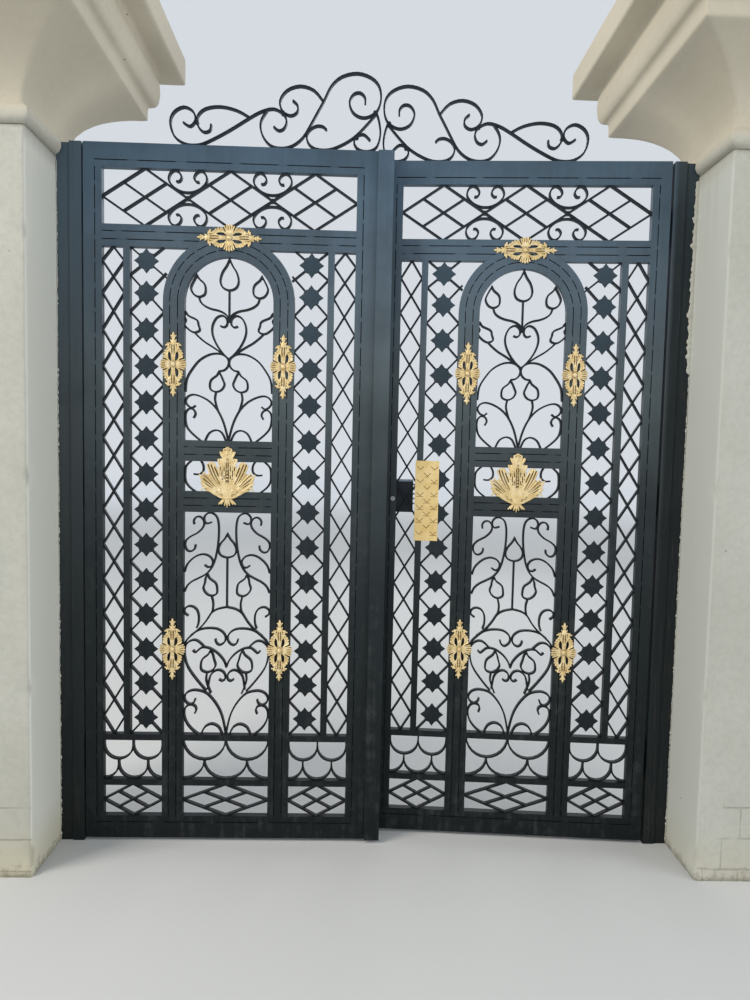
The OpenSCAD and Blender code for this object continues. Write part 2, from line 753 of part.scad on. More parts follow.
// Outline of a casting drawn for its right half from the top down, and mirrored
module casting(half) {
    e = smooth(half, 2);
    polygon(concat(e, reversed([for (q = e) if (abs(q.x) > 0.01) [-q.x, q.y]])));
}

// Pierced cartouche standing upright, drawn for a quarter
module cartouche() {
    upper = [[0, 109], [4, 104], [10, 98], [9, 92], [5.5, 86], [7, 77], [12, 71], [20, 74],
        [29, 74], [34, 67], [32, 58], [33, 51], [37, 42], [36, 33], [33, 26], [29, 22], [31, 17],
        [40, 15], [45, 9], [46.5, 3]];
    q = [for (p = upper) [p.x * cartouche_w / 93, p.y * cartouche_l / 218]];
    difference() {
        casting(concat(q, reversed([for (p = q) [p.x, -p.y]])));
        for (sx = [-1, 1], sz = [-1, 1])
            translate([sx * cartouche_w * 0.2, sz * cartouche_l * 0.16]) circle(cartouche_w / 18);
    }
}

module cartouches() {
    sheet(-cartouche_t, cartouche_t) {
        for (x = [post_x + post_w / 2, 2 * mid_x - post_x - post_w / 2], z = cartouche_zs)
            translate([x, z]) cartouche();
        translate([mid_x, strip_top + transom_rail_h / 2]) rotate(90) cartouche();
    }
}

// Fan of leaves over a hanging tassel, under a column of curls
module palmette() {
    half = [[0, 181], [5, 178], [6, 172], [5, 166], [12, 163], [21, 161], [24, 154], [19, 148],
        [15, 142], [25, 140], [36, 138], [38, 130], [30, 125], [24, 118], [27, 108], [40, 110],
        [54, 117], [68, 119], [68, 108], [66, 97], [78, 95], [90, 90], [99, 80], [90, 70],
        [84, 62], [90, 54], [94, 42], [93, 32], [84, 23], [68, 22], [50, 16], [35, 8], [22, 0],
        [15, -6], [20, -14], [29, -21], [22, -25], [12, -22], [6, -26], [0, -32]];
    k = [arch_r / drawn_r, middle_h / (drawn_middle[1] - drawn_middle[0])];
    sheet(-palmette_t, palmette_t) translate([mid_x, middle_z - 25])
        casting([for (p = half) [p.x * k.x, p.y * k.y]]);
}

module lock_plate() {
    x = 2 * mid_x - slim_x + plate_lap;
    z = lock_z - plate_drop;
    sheet(-plate_t, plate_t) area(x - plate_w, z - plate_h / 2, x, z + plate_h / 2);
}

module lock_case() {
    z = lock_z + case_up;
    sheet(edging_d, case_t) area(edge_r - case_reach, z - case_h / 2, edge_r + edging_w, z + case_h / 2);
    translate([edge_r + edging_w / 2, 0, lock_z]) rotate([90, 0, 0]) cylinder(h = plate_t, r = rose_r);
}

// Places of the leaves
module left_leaf() {
    translate([-leaf_x, leaf_y, ground_gap]) children();
}

module right_leaf() {
    translate([hinge_x, hinge_y, 0]) rotate([0, 0, -ajar]) translate([-hinge_x, -hinge_y, 0])
        mirror([1, 0, 0]) left_leaf() children();
}

module left_pier() { color(plaster) at_pier(-1) pier(); }
module left_capital() { color(plaster) at_pier(-1) capital(-1); }
module left_jamb() { color(dark_steel) jamb(-1); }
module left_hinge_pins() { color(dark_steel) pins(-1); }
module right_pier() { color(plaster) at_pier(1) pier(); }
module right_capital() { color(plaster) at_pier(1) capital(1); }
module right_jamb() { color(dark_steel) jamb(1); }
module right_hinge_pins() { color(dark_steel) pins(1); }

left_pier();
left_capital();
left_jamb();
left_hinge_pins();
right_pier();
right_capital();
right_jamb();
right_hinge_pins();
color(steel) left_leaf() hinge_stile();  // left_hinge_stile
color(steel) left_leaf() meeting_stile();  // left_meeting_stile
color(steel) left_leaf() cover_strip();  // left_cover_strip
color(steel) left_leaf() top_rail();  // left_top_rail
color(steel) left_leaf() transom_rail();  // left_transom_rail
color(steel) left_leaf() low_rails();  // left_low_rails
color(steel) left_leaf() arch_frame();  // left_arch_frame
color(steel) left_leaf() slim_bars();  // left_slim_bars
color(steel) left_leaf() transom_lattice();  // left_transom_lattice
color(steel) left_leaf() side_lattice(top_diamond_h);  // left_side_lattice
color(steel) left_leaf() star_lattice();  // left_star_lattice
color(steel) left_leaf() upper_scrolls();  // left_upper_scrolls
color(steel) left_leaf() lower_scrolls();  // left_lower_scrolls
color(steel) left_leaf() foot_panel();  // left_foot_panel
color(steel) left_leaf() cresting();  // left_cresting
color(gold) left_leaf() cartouches();  // left_cartouches
color(gold) left_leaf() palmette();  // left_palmette
color(steel) left_leaf() knuckles();  // left_knuckles
color(steel) right_leaf() hinge_stile();  // right_hinge_stile
color(steel) right_leaf() meeting_stile();  // right_meeting_stile
color(steel) right_leaf() top_rail();  // right_top_rail
color(steel) right_leaf() transom_rail();  // right_transom_rail
color(steel) right_leaf() low_rails();  // right_low_rails
color(steel) right_leaf() arch_frame();  // right_arch_frame
color(steel) right_leaf() slim_bars();  // right_slim_bars
color(steel) right_leaf() transom_lattice();  // right_transom_lattice
color(steel) right_leaf() side_lattice(strip_h / strip_count);  // right_side_lattice
color(steel) right_leaf() star_lattice();  // right_star_lattice
color(steel) right_leaf() upper_scrolls();  // right_upper_scrolls
color(steel) right_leaf() lower_scrolls();  // right_lower_scrolls
color(steel) right_leaf() foot_panel();  // right_foot_panel
color(steel) right_leaf() cresting();  // right_cresting
color(gold) right_leaf() cartouches();  // right_cartouches
color(gold) right_leaf() palmette();  // right_palmette
color(steel) right_leaf() knuckles();  // right_knuckles
color(gold) right_leaf() lock_plate();
color(dark_steel) right_leaf() lock_case();
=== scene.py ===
"""Looks of the double-leaf entrance gate.

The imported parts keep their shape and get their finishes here: weathered satin paint, mottled
plaster, gilding and brass. The carved castings, the faces of the stars, the welds, the lock's
fittings and the worn plaster of the piers are added at true scale. A leaf's pieces are drawn in
the leaf's own frame, in millimetres: x from its hinge edge, y back from its front face, z up from
its foot. The plaster beside the jambs is in the gate's frame, in millimetres too; finishes, piers,
capitals and stage are in that frame in metres.
"""

import math
import random

import bmesh
import bpy
from mathutils import Matrix, Vector, noise


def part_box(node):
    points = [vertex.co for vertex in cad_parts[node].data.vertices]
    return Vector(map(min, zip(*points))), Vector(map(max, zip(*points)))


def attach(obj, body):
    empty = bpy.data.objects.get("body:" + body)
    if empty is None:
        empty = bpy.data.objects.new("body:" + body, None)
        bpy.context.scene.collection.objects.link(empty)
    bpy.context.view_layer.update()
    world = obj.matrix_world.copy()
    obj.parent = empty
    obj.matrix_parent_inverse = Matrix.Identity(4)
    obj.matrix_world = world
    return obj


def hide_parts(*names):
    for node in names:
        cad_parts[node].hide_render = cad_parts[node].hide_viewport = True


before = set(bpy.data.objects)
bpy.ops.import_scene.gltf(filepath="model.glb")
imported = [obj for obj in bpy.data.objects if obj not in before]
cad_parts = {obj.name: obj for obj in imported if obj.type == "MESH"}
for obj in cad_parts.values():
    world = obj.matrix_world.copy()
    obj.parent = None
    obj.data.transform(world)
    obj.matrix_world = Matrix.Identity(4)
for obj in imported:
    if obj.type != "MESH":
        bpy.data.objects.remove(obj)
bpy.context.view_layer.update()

MM = 0.001
MIRROR_X = Matrix.Scale(-1, 4, (1, 0, 0))

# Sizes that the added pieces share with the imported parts, in millimetres
LEAF_X = 998  # hinge edge, from the middle of the way
LEAF_Y = 44  # front face
LEAF_H = 2400
GROUND_GAP = 12
HINGE_X, HINGE_Y = 1001, 101  # hinge axis
HINGE_ZS = (230, 1180, 2130)
EAR_H = 60
AJAR = 4.4  # degrees
STILE_W = 37
EDGE_L, EDGE_R = 61.5, 916.5  # inner sides of the edging tubes
EDGING_W = 24.5
RAIL_H = 55.5
MID_X = 489  # axis of the arched frame
SLIM_X = 132.5
STAR_X, STAR_W = 155, 111  # strip of stars
POST_X, POST_W = 266, 72.5  # post of the arched frame
ARCH_R, SPRING_Z = 150.5, 1885
FOOT_Z, TOP_Z = 80, 2320  # between the edging of the bottom and top rails
PANEL_Z, PANEL_TOP = 376, 1167  # lower scrolls
MIDDLE_TOP = 1343  # opening behind the palmette
CROSS_RAIL_H = 72
STRIP_TOP, TRANSOM_Z = 2061, 2134  # underside and top of the transom rail
STRIP_COUNT = 14
TOP_DIAMOND_H = 92
STAR_SIZE = 84
STAR_REACH = (1.0, 0.70, 0.79, 0.70)
PLATE_H = 286
PLATE_LAP = 4.5
PLATE_DROP = 6
PLATE_FRONT = -4.05
LOCK_Z = 1224
CASE_REACH = 60
CARTOUCHE_ZS = (684, 1671)
PALMETTE_Z = 1214
PIER_X = 1087  # side of the pier, beside the jamb

# Added work, in millimetres
CAST_BACK = 0.3  # how far a casting sinks into its frame
WEB_T = 2.8
CARTOUCHE_PITCH = 1.25
PALMETTE_PITCH = 1.2
BEAD = (1, 0.85, 1)  # a ball a little flatter than round
STAR_SHARE = 0.98  # of the star's size
STAR_BED, STAR_STEP, STAR_RISE = 0.9, 0.7, 2.2
SEAM_W = 3
SEAM_WELD_T, SEAM_WELD_H = 1.25, 2.3
CROSS_DASH, UPRIGHT_DASH, ARCH_DASH = (130, 19), (66, 9), (35, 7)  # spacing and half length
CROWN_HALF = 125  # half the gap that the crown of the arch leaves in the seam above it
CHEVRON_ROWS, CHEVRON_TOP, CHEVRON_PITCH = 11, 26, 23.2
CHEVRON_PAIR, CHEVRON_MIDDLE = (18, 68), (43,)  # columns, from the plate's outer edge
CHEVRON_W = 12  # half width
LATCH_BITS, LATCH_LOW, LATCH_PITCH = 5, 21, 17.2  # the lowest is below the lock
LEAF_EAR, JAMB_EAR = (2, 48), (-54, -8)  # ends of the ears in x
EAR_PLAY = 1
EAR_BEADS = 16
FILLET_R, FILLET_Y = 2.6, 40.5
JAMB_PLASTER_PITCH = 2.4
JAMB_PLASTER_LOW, JAMB_PLASTER_HIGH = 8.0, 2345
HEAVY_FROM = 1700  # height from which the plaster on the right is thick
BATCH = 30  # balls that are drawn in one small mesh

# Lock case and plaster, in metres
CASE_TOP = 1.297
NECK_ROLL_Z = 2.40
CAPITAL_PITCH = 0.008
PIER_CELL = 0.02  # least spacing of the points on a pier
PIER_ARRIS = 0.009
PIER_SKIN = 0.010  # points this near to a face belong to it
# height, reach and depth
KNOCKS = ((0.07, 0.05, 0.007), (0.62, 0.03, 0.004), (1.30, 0.035, 0.005), (2.05, 0.03, 0.004))
PIER_FRONT = -0.18
COURSE_H, BLOCK_L = 0.106, 0.118
BED_Z, BED_RIGHT_UP = 0.019, 0.021  # lowest bed, and how much higher it lies on the right
PERPEND_X = 1.171

# The photograph's camera, in metres, degrees and pixels, and the stage
CAMERA_AT = (-0.0671, -2.4083, 1.3977)
CAMERA_YAW, CAMERA_PITCH, CAMERA_ROLL = 1.62, -3.83, 1.28
FOCAL_LENGTH, PHOTO_W = 706.32, 750
SENSOR_W = 36  # millimetres
FLOOR_HALF = 30


# Finishes
def linear(r, g, b):
    """Linear colour of screen values from 0 to 255."""
    def one(c):
        c /= 255
        return c / 12.92 if c <= 0.04045 else ((c + 0.055) / 1.055) ** 2.4
    return (one(r), one(g), one(b), 1.0)


class Value:
    """A number that varies over a surface; Python's operators add Math nodes."""

    def __init__(self, finish, socket):
        self.finish, self.socket = finish, socket

    def math(self, operation, *others):
        return self.finish.math(operation, self, *others)

    def __add__(self, other):
        return self.math("ADD", other)

    def __radd__(self, other):
        return self.finish.math("ADD", other, self)

    def __sub__(self, other):
        return self.math("SUBTRACT", other)

    def __rsub__(self, other):
        return self.finish.math("SUBTRACT", other, self)

    def __mul__(self, other):
        return self.math("MULTIPLY", other)

    def __rmul__(self, other):
        return self.finish.math("MULTIPLY", other, self)

    def __truediv__(self, other):
        return self.math("DIVIDE", other)

    def between(self, low, high):
        """0 at low, 1 at high, smooth in between."""
        node = self.finish.add(
            "ShaderNodeMapRange", {"interpolation_type": "SMOOTHSTEP"},
            {"Value": self, "From Min": low, "From Max": high})
        return Value(self.finish, node.outputs["Result"])


class Finish:
    """A material around one Principled shader."""

    def __init__(self, name, gloss=0.5):
        self.material = bpy.data.materials.new(name)
        self.material.use_nodes = True
        self.tree = self.material.node_tree
        self.tree.nodes.clear()
        self.shader = self.add("ShaderNodeBsdfPrincipled", {}, {"Specular IOR Level": gloss})
        output = self.add("ShaderNodeOutputMaterial", {}, {})
        self.tree.links.new(self.shader.outputs[0], output.inputs["Surface"])
        self.place = self.add("ShaderNodeTexCoord", {}, {}).outputs["Object"]
        axes = self.add("ShaderNodeSeparateXYZ", {}, {0: self.place}).outputs
        self.x, self.y, self.z = (Value(self, axis) for axis in axes)

    def add(self, kind, settings, values):
        """A node, with its settings and what its inputs get."""
        node = self.tree.nodes.new(kind)
        for name, value in settings.items():
            setattr(node, name, value)
        for name, value in values.items():
            self.plug(node.inputs[name], value)
        return node

    def plug(self, socket, value):
        if isinstance(value, Value):
            value = value.socket
        if isinstance(value, bpy.types.NodeSocket):
            self.tree.links.new(value, socket)
        else:
            socket.default_value = value

    def math(self, operation, *values):
        node = self.add("ShaderNodeMath", {"operation": operation}, dict(enumerate(values)))
        return Value(self, node.outputs[0])

    def stretched(self, x, y, z):
        """The place on the surface, with each axis multiplied."""
        node = self.add("ShaderNodeVectorMath", {"operation": "MULTIPLY"},
                        {0: self.place, 1: (x, y, z)})
        return node.outputs[0]

    def noise(self, scale, detail=4.0, roughness=0.5, place=None):
        node = self.add("ShaderNodeTexNoise", {}, {
            "Vector": place or self.place, "Scale": scale, "Detail": detail,
            "Roughness": roughness})
        return Value(self, node.outputs[0])

    def cells(self, scale):
        """Distance to the nearest of many scattered points."""
        node = self.add("ShaderNodeTexVoronoi", {}, {"Vector": self.place, "Scale": scale})
        return Value(self, node.outputs["Distance"])

    def ramp(self, value, stops):
        """Colour of a value, from (value, colour) pairs."""
        node = self.add("ShaderNodeValToRGB", {}, {0: value})
        elements = node.color_ramp.elements
        while len(elements) < len(stops):
            elements.new(0.5)
        for element, (at, colour) in zip(elements, stops):
            element.position, element.color = at, colour
        return node.outputs[0]

    def mix(self, factor, a, b):
        node = self.add("ShaderNodeMix", {"data_type": "RGBA"}, {})
        sockets = [s for s in node.inputs if s.enabled]
        for socket, value in zip(sockets, (factor, a, b)):
            self.plug(socket, value)
        return [s for s in node.outputs if s.enabled][0]

    def bump(self, height, distance, strength, under=None):
        values = {"Height": height, "Distance": distance, "Strength": strength}
        if under is not None:
            values["Normal"] = under
        return self.add("ShaderNodeBump", {}, values).outputs[0]

    def openness(self, distance):
        """How open the surface is to the light, from 0 in a hollow to 1."""
        node = self.add("ShaderNodeAmbientOcclusion", {"samples": 6, "only_local": True},
                        {"Distance": distance})
        return Value(self, node.outputs["AO"])

    def soft_edges(self, radius):
        """Normal that rounds the arrises of the parts."""
        return self.add("ShaderNodeBevel", {"samples": 4}, {"Radius": radius}).outputs[0]

    def surface(self, **values):
        """The finished material; a shader input is named in lower case with underscores."""
        for name, value in values.items():
            self.plug(self.shader.inputs[name.replace("_", " ").title()], value)
        return self.material


def by_height(finish, painted_light_tints):
    """Colour ramp up the object, from (height, screen colour) pairs; the paints carry painted sky
    reflection and painted shade in it.
    """
    low, high = painted_light_tints[0][0], painted_light_tints[-1][0]
    span = high - low
    return finish.ramp((finish.z - low) / span,
                       [((z - low) / span, linear(*tint)) for z, tint in painted_light_tints])


def paint(name, painted_light_tints, gloss, dusty, seams=False):
    """Satin paint with a tone for each height, painted sky reflection high up and painted shade
    low down, finely mottled, dusty towards the ground.
    """
    f = Finish(name, gloss)
    # painted light: the tones by height paint the sky's reflection on the upper parts and shade on
    # the lower ones
    painted_light_tone = by_height(f, painted_light_tints)
    drift = f.noise(2.3, 5.0, 0.6)
    streak = f.noise(7.0, 5.0, 0.6, f.stretched(7.0, 7.0, 0.30))
    speck = f.noise(240.0, 2.0, 0.5)
    dust = (f.noise(24.0, 5.0, 0.65) * streak * 2.2).between(0.50, 0.95) * (1.15 - f.z * 0.3)
    dull = (drift * 0.8 + streak * 0.2).between(0.36, 0.66)
    colour = f.mix(dull * 0.40, painted_light_tone, linear(24, 29, 32))
    colour = f.mix(dust * dusty, colour, linear(98, 100, 98))
    colour = f.mix(speck.between(0.62, 0.78) * 0.18, colour, linear(92, 100, 104))
    # painted shade: ambient occlusion darkens the seams and other hollows to near black
    if seams:
        hollow = (1 - f.openness(0.006)).between(0.15, 0.60)
        colour = f.mix(hollow, colour, linear(9, 13, 15))
    grain = f.noise(700.0, 2.0, 0.5) * 0.4 + f.noise(110.0, 3.0, 0.5)
    return f.surface(base_color=colour, roughness=0.38 + 0.18 * drift + 0.14 * dust,
                     normal=f.bump(grain, 0.0002, 0.5, f.soft_edges(0.0016)))


def jamb_paint():
    """The leaves' paint, duller and streaked, with painted sky reflection high up, painted shade
    low down and on the inner tube, and splashed at the foot.
    """
    f = Finish("jamb_paint", 0.2)
    # painted light: sky reflection on the upper part and shade on the lower part, as tones by
    # height
    painted_light_tone = by_height(f, [
        (0.0, (22, 30, 29)), (0.8, (38, 44, 46)), (1.2, (58, 64, 66)), (1.6, (72, 80, 84)),
        (2.41, (80, 97, 110))])
    streak = f.noise(14.0, 6.0, 0.65, f.stretched(9.0, 9.0, 0.5))
    drift = f.noise(2.4, 5.0, 0.6)
    # painted shade on the inner tube, half as strong near the top
    shade = f.x.between(1.0, 1.02) * (1 - f.z.between(2.0, 2.6) * 0.5)
    colour = f.mix(shade * 0.85, painted_light_tone, linear(26, 32, 33))
    colour = f.mix(streak.between(0.50, 0.72) * 0.38, colour, linear(74, 70, 64))
    colour = f.mix(drift.between(0.5, 0.7) * 0.4, colour, linear(18, 22, 24))
    splash = (f.noise(60.0, 3.0, 0.7) - f.z * 0.9).between(0.62, 0.70)
    colour = f.mix(splash * 0.5, colour, linear(150, 148, 140))
    height = f.noise(160.0, 3.0, 0.5) + streak * 0.6
    return f.surface(base_color=colour, roughness=0.46 + 0.25 * streak,
                     normal=f.bump(height, 0.0003, 0.6, f.soft_edges(0.0018)))


def gilding():
    """Gold paint, with painted shade in the hollows of the carving."""
    f = Finish("gilding")
    tone = f.noise(45.0, 5.0, 0.6)
    hollow = f.noise(160.0, 3.0, 0.5)
    colour = f.ramp(tone, [
        (0.30, linear(214, 184, 124)), (0.52, linear(236, 210, 154)),
        (0.75, linear(250, 234, 194))])
    colour = f.mix(hollow.between(0.60, 0.78) * 0.20, colour, linear(160, 126, 72))
    # painted shade: ambient occlusion darkens the hollows of the carving to brown
    colour = f.mix((1 - f.openness(0.008)).between(0.10, 0.40), colour, linear(84, 58, 26))
    height = hollow + f.noise(420.0, 2.0, 0.5) * 0.5
    return f.surface(base_color=colour, metallic=0.15 + 0.2 * tone,
                     roughness=0.34 + 0.2 * hollow, normal=f.bump(height, 0.0003, 0.4))


def lock_brass():
    """Brass-coloured lock plate, brushed upwards."""
    f = Finish("lock_brass")
    brushed = f.noise(30.0, 4.0, 0.6, f.stretched(14.0, 14.0, 0.6))
    tone = f.noise(22.0, 5.0, 0.6)
    colour = f.ramp(tone, [
        (0.3, linear(226, 192, 122)), (0.55, linear(240, 210, 144)),
        (0.75, linear(250, 226, 170))])
    colour = f.mix(brushed.between(0.5, 0.8) * 0.15, colour, linear(176, 142, 84))
    height = brushed + f.noise(240.0, 2.0, 0.5) * 0.6
    return f.surface(base_color=colour, metallic=0.25 + 0.2 * brushed,
                     roughness=0.36 + 0.16 * brushed,
                     normal=f.bump(height, 0.00015, 0.5, f.soft_edges(0.0012)))


def engraving():
    """Dirt in the engraved lines of the lock plate."""
    f = Finish("engraving", 0.3)
    tone = f.noise(120.0, 3.0, 0.5)
    colour = f.mix(tone, linear(112, 78, 36), linear(150, 110, 58))
    return f.surface(base_color=colour, roughness=0.55 + 0.2 * tone)


def lock_enamel():
    """Navy enamel of the lock case, with a painted highlight along its top edge."""
    f = Finish("lock_enamel", 0.4)
    grain = f.noise(420.0, 3.0, 0.5)
    wear = f.noise(30.0, 5.0, 0.6).between(0.55, 0.75)
    # painted highlight: a pale line along the top edge of the case
    top = f.z.between(CASE_TOP - 0.0015, CASE_TOP + 0.0015)
    colour = f.mix(wear * 0.4, linear(14, 26, 38), linear(46, 54, 60))
    colour = f.mix(top * 0.85, colour, linear(166, 182, 198))
    return f.surface(base_color=colour, metallic=wear * 0.3, roughness=0.36 + 0.2 * grain,
                     normal=f.bump(grain, 0.0002, 0.4, f.soft_edges(0.001)))


def bright_steel():
    """Worn steel of the cylinder's rose and the latch."""
    f = Finish("bright_steel")
    brushed = f.noise(60.0, 4.0, 0.6, f.stretched(1.0, 1.0, 9.0))
    colour = f.mix(brushed, linear(120, 124, 124), linear(186, 188, 186))
    return f.surface(base_color=colour, metallic=0.7 - 0.2 * brushed,
                     roughness=0.30 + 0.25 * brushed,
                     normal=f.bump(brushed, 0.0001, 0.4, f.soft_edges(0.0006)))


def block_joints(f):
    """Where the joints of the blockwork show through, at the foot of the front faces."""
    right = f.x.between(-0.01, 0.01)
    courses = (f.z - BED_Z - BED_RIGHT_UP * right) / COURSE_H
    course = (courses + 0.5).math("FRACT") - 0.5
    bed = 1 - course.math("ABSOLUTE").between(0.012, 0.045)
    stagger = courses.math("FLOOR").math("MODULO", 2.0) * 0.5
    along = ((f.x - PERPEND_X) / BLOCK_L + 0.5 + stagger).math("FRACT") - 0.5
    perpend = (1 - along.math("ABSOLUTE").between(0.008, 0.035)) * right
    front = 1 - f.y.between(PIER_FRONT + 0.002, PIER_FRONT + 0.010)
    worn = front * (1 - f.z.between(0.25, 0.30)) * f.noise(5.0, 4.0, 0.6).between(0.36, 0.56)
    return bed.math("MAXIMUM", perpend * 0.9) * worn


def rubbed_plaster():
    """Painted plaster of the piers and capitals."""
    f = Finish("rubbed_plaster", 0.2)
    cloud = f.noise(1.5, 7.0, 0.62)
    trowel = f.noise(6.0, 6.0, 0.6, f.stretched(1.0, 1.0, 0.55))
    sand = f.noise(330.0, 3.0, 0.6)
    mottle = f.noise(46.0, 5.0, 0.75).between(0.42, 0.62)
    colour = f.ramp(cloud, [
        (0.28, linear(175, 174, 163)), (0.50, linear(187, 186, 175)),
        (0.72, linear(197, 196, 186))])
    colour = f.mix(trowel.between(0.50, 0.74) * 0.30, colour, linear(182, 183, 176))
    colour = f.mix(mottle * 0.22, colour, linear(160, 158, 148))
    # painted sunlight: a creamier, warmer tone on the capitals
    colour = f.mix(f.z.between(2.34, 2.44) * 0.55, colour, linear(210, 197, 172))
    # painted light on the pier's side beside the left jamb, painted shade of the capital on the
    # side beside the right jamb
    inside = f.x.math("ABSOLUTE")
    reveal_light_and_shade = inside.between(1.0862, 1.0870) * (1 - inside.between(1.0895, 1.0945))
    skin = f.mix(f.x.between(-0.1, 0.1), linear(228, 228, 217), linear(199, 202, 195))
    colour = f.mix(reveal_light_and_shade * (1 - f.z.between(2.30, 2.36)) * 0.85, colour, skin)
    # yellowed and splashed foot, more on the left
    side = 0.45 + 0.55 * (1 - f.x.between(-0.2, 0.2))
    foot = 1 - (f.z + f.noise(5.0, 5.0, 0.6) * 0.16).between(0.08, 0.30)
    colour = f.mix(foot * side * 0.55, colour, linear(206, 197, 164))
    splash = (f.noise(34.0, 5.0, 0.7) * (1 - f.z.between(0.0, 0.16))).between(0.44, 0.60)
    colour = f.mix(splash * 0.5, colour, linear(140, 130, 116))
    # rain marks below the mouldings
    run = f.noise(4.0, 6.0, 0.65, f.stretched(11.0, 11.0, 0.30))
    high = f.z.between(1.4, 2.36) * (1 - f.z.between(2.36, 2.45))
    colour = f.mix((run * high).between(0.40, 0.70) * 0.16, colour, linear(166, 162, 150))
    # small dark chips and pits
    pits = 1 - f.cells(13.0).between(0.03, 0.065)
    shown = f.noise(3.1, 2.0, 0.5).between(0.52, 0.60)
    chips = pits * shown * f.noise(90.0, 3.0, 0.6).between(0.40, 0.60)
    colour = f.mix(chips * 0.8, colour, linear(92, 86, 76))
    joints = block_joints(f)
    colour = f.mix(joints * 0.55, colour, linear(140, 134, 118))
    height = trowel + sand * 0.25 - chips * 1.2 - joints * 0.8
    return f.surface(base_color=colour, roughness=0.82 + 0.12 * sand,
                     normal=f.bump(height, 0.0022, 0.6, f.soft_edges(0.004)))


def pale_floor():
    """Plain floor that glows a little far out, so that it has no dark horizon."""
    f = Finish("pale_floor")
    colour = f.mix(f.noise(0.8, 3.0, 0.5), linear(204, 204, 202), linear(212, 212, 210))
    far = (f.x * f.x + f.y * f.y).between(16.0, 400.0)
    glow = f.mix(far, (0, 0, 0, 1), (0.20, 0.22, 0.25, 1))
    return f.surface(base_color=colour, roughness=0.85 + 0.05 * f.noise(5.0),
                     emission_color=glow, emission_strength=1.0)


# tones by height for the paints: painted shade near the ground, painted sky reflection higher up
PAINT = paint("leaf_paint", [
    (0.0, (14, 20, 21)), (0.45, (20, 27, 29)), (0.9, (34, 41, 43)), (1.3, (58, 66, 69)),
    (1.65, (86, 96, 100)), (2.0, (86, 101, 113)), (2.35, (84, 105, 122)), (2.7, (72, 92, 110))],
    gloss=0.20, dusty=0.18, seams=True)
INFILL = paint("infill_paint", [
    (0.0, (14, 18, 20)), (0.9, (20, 25, 29)), (1.65, (27, 34, 40)), (2.35, (32, 42, 51)),
    (2.7, (30, 40, 50))], gloss=0.18, dusty=0.10)
STAR = paint("star_paint", [
    (0.0, (16, 22, 24)), (0.9, (28, 36, 40)), (1.65, (50, 62, 70)), (2.35, (64, 82, 95)),
    (2.7, (64, 82, 95))], gloss=0.20, dusty=0.10)
JAMB = jamb_paint()
GILT = gilding()
BRASS = lock_brass()
ENAMEL = lock_enamel()
STEEL = bright_steel()
PLASTER = rubbed_plaster()

# The first word that a node's name holds decides its finish
NODE_FINISHES = (
    ("pier", PLASTER), ("capital", PLASTER), ("jamb", JAMB), ("cartouches", GILT),
    ("palmette", GILT), ("lock_plate", BRASS), ("lock_case", ENAMEL), ("lattice", INFILL),
    ("scrolls", INFILL), ("foot_panel", INFILL), ("cresting", INFILL), ("", PAINT),
)

for name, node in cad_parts.items():
    node.data.materials.clear()
    node.data.materials.append(next(finish for word, finish in NODE_FINISHES if word in name))


# Places and simple shapes
def leaf_place(side):
    """From the leaf's own frame in millimetres to the gate's frame in metres."""
    place = Matrix.Translation((-LEAF_X, LEAF_Y, GROUND_GAP))
    if side == "right":
        axle = Vector((HINGE_X, HINGE_Y, 0))
        place = (Matrix.Translation(axle) @ Matrix.Rotation(math.radians(-AJAR), 4, "Z")
                 @ Matrix.Translation(-axle) @ MIRROR_X @ place)
    return Matrix.Scale(MM, 4) @ place


def mesh_of(name, bm):
    """Turns a bmesh into a mesh and frees it."""
    mesh = bpy.data.meshes.new(name)
    bm.to_mesh(mesh)
    bm.free()
    return mesh


def put(name, data):
    """Puts a mesh, lamp or camera into the scene."""
    obj = bpy.data.objects.new(name, data)
    bpy.context.scene.collection.objects.link(obj)
    return obj


def piece(name, bm, place, body, material, smooth=False):
    """Makes a bmesh a piece of the scene that rides on a body."""
    bmesh.ops.transform(bm, matrix=place, verts=bm.verts)
    bmesh.ops.recalc_face_normals(bm, faces=bm.faces)
    mesh = mesh_of(name, bm)
    for face in mesh.polygons:
        face.use_smooth = smooth
    mesh.materials.append(material)
    obj = put(name, mesh)
    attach(obj, body)
    return obj


def everything(bm):
    """All points, edges and faces, as the operators want them."""
    return list(bm.verts) + list(bm.edges) + list(bm.faces)


def ball(bm, at, radius, squash=(1, 1, 1), turn=0.0, detail=2):
    """A ball, or an egg squashed along its axes and turned in the front view."""
    place = (Matrix.Translation(at) @ Matrix.Rotation(-turn, 4, "Y")
             @ Matrix.Diagonal((*squash, 1)))
    bmesh.ops.create_icosphere(bm, subdivisions=detail, radius=radius, matrix=place)


def balls(bm, rows):
    """Many balls, each row with what ball() takes; in batches, as a small mesh grows faster."""
    rows = list(rows)
    for start in range(0, len(rows), BATCH):
        part = bmesh.new()
        for row in rows[start:start + BATCH]:
            ball(part, *row)
        mesh = mesh_of("part", part)
        bm.from_mesh(mesh)
        bpy.data.meshes.remove(mesh)


def rod(bm, a, b, r1, r2, sides=6):
    """A rod between two points, with a radius at each end."""
    a, b = Vector(a), Vector(b)
    turn = (b - a).to_track_quat("Z", "Y").to_matrix().to_4x4()
    bmesh.ops.create_cone(bm, cap_ends=True, segments=sides, radius1=r1, radius2=r2,
                          depth=(b - a).length, matrix=Matrix.Translation((a + b) / 2) @ turn)


def box_between(bm, low, high):
    """A box between two corners; gives its corner points."""
    place = Matrix.Translation((low + high) / 2) @ Matrix.Diagonal((*(high - low), 1))
    return bmesh.ops.create_cube(bm, size=1, matrix=place)["verts"]


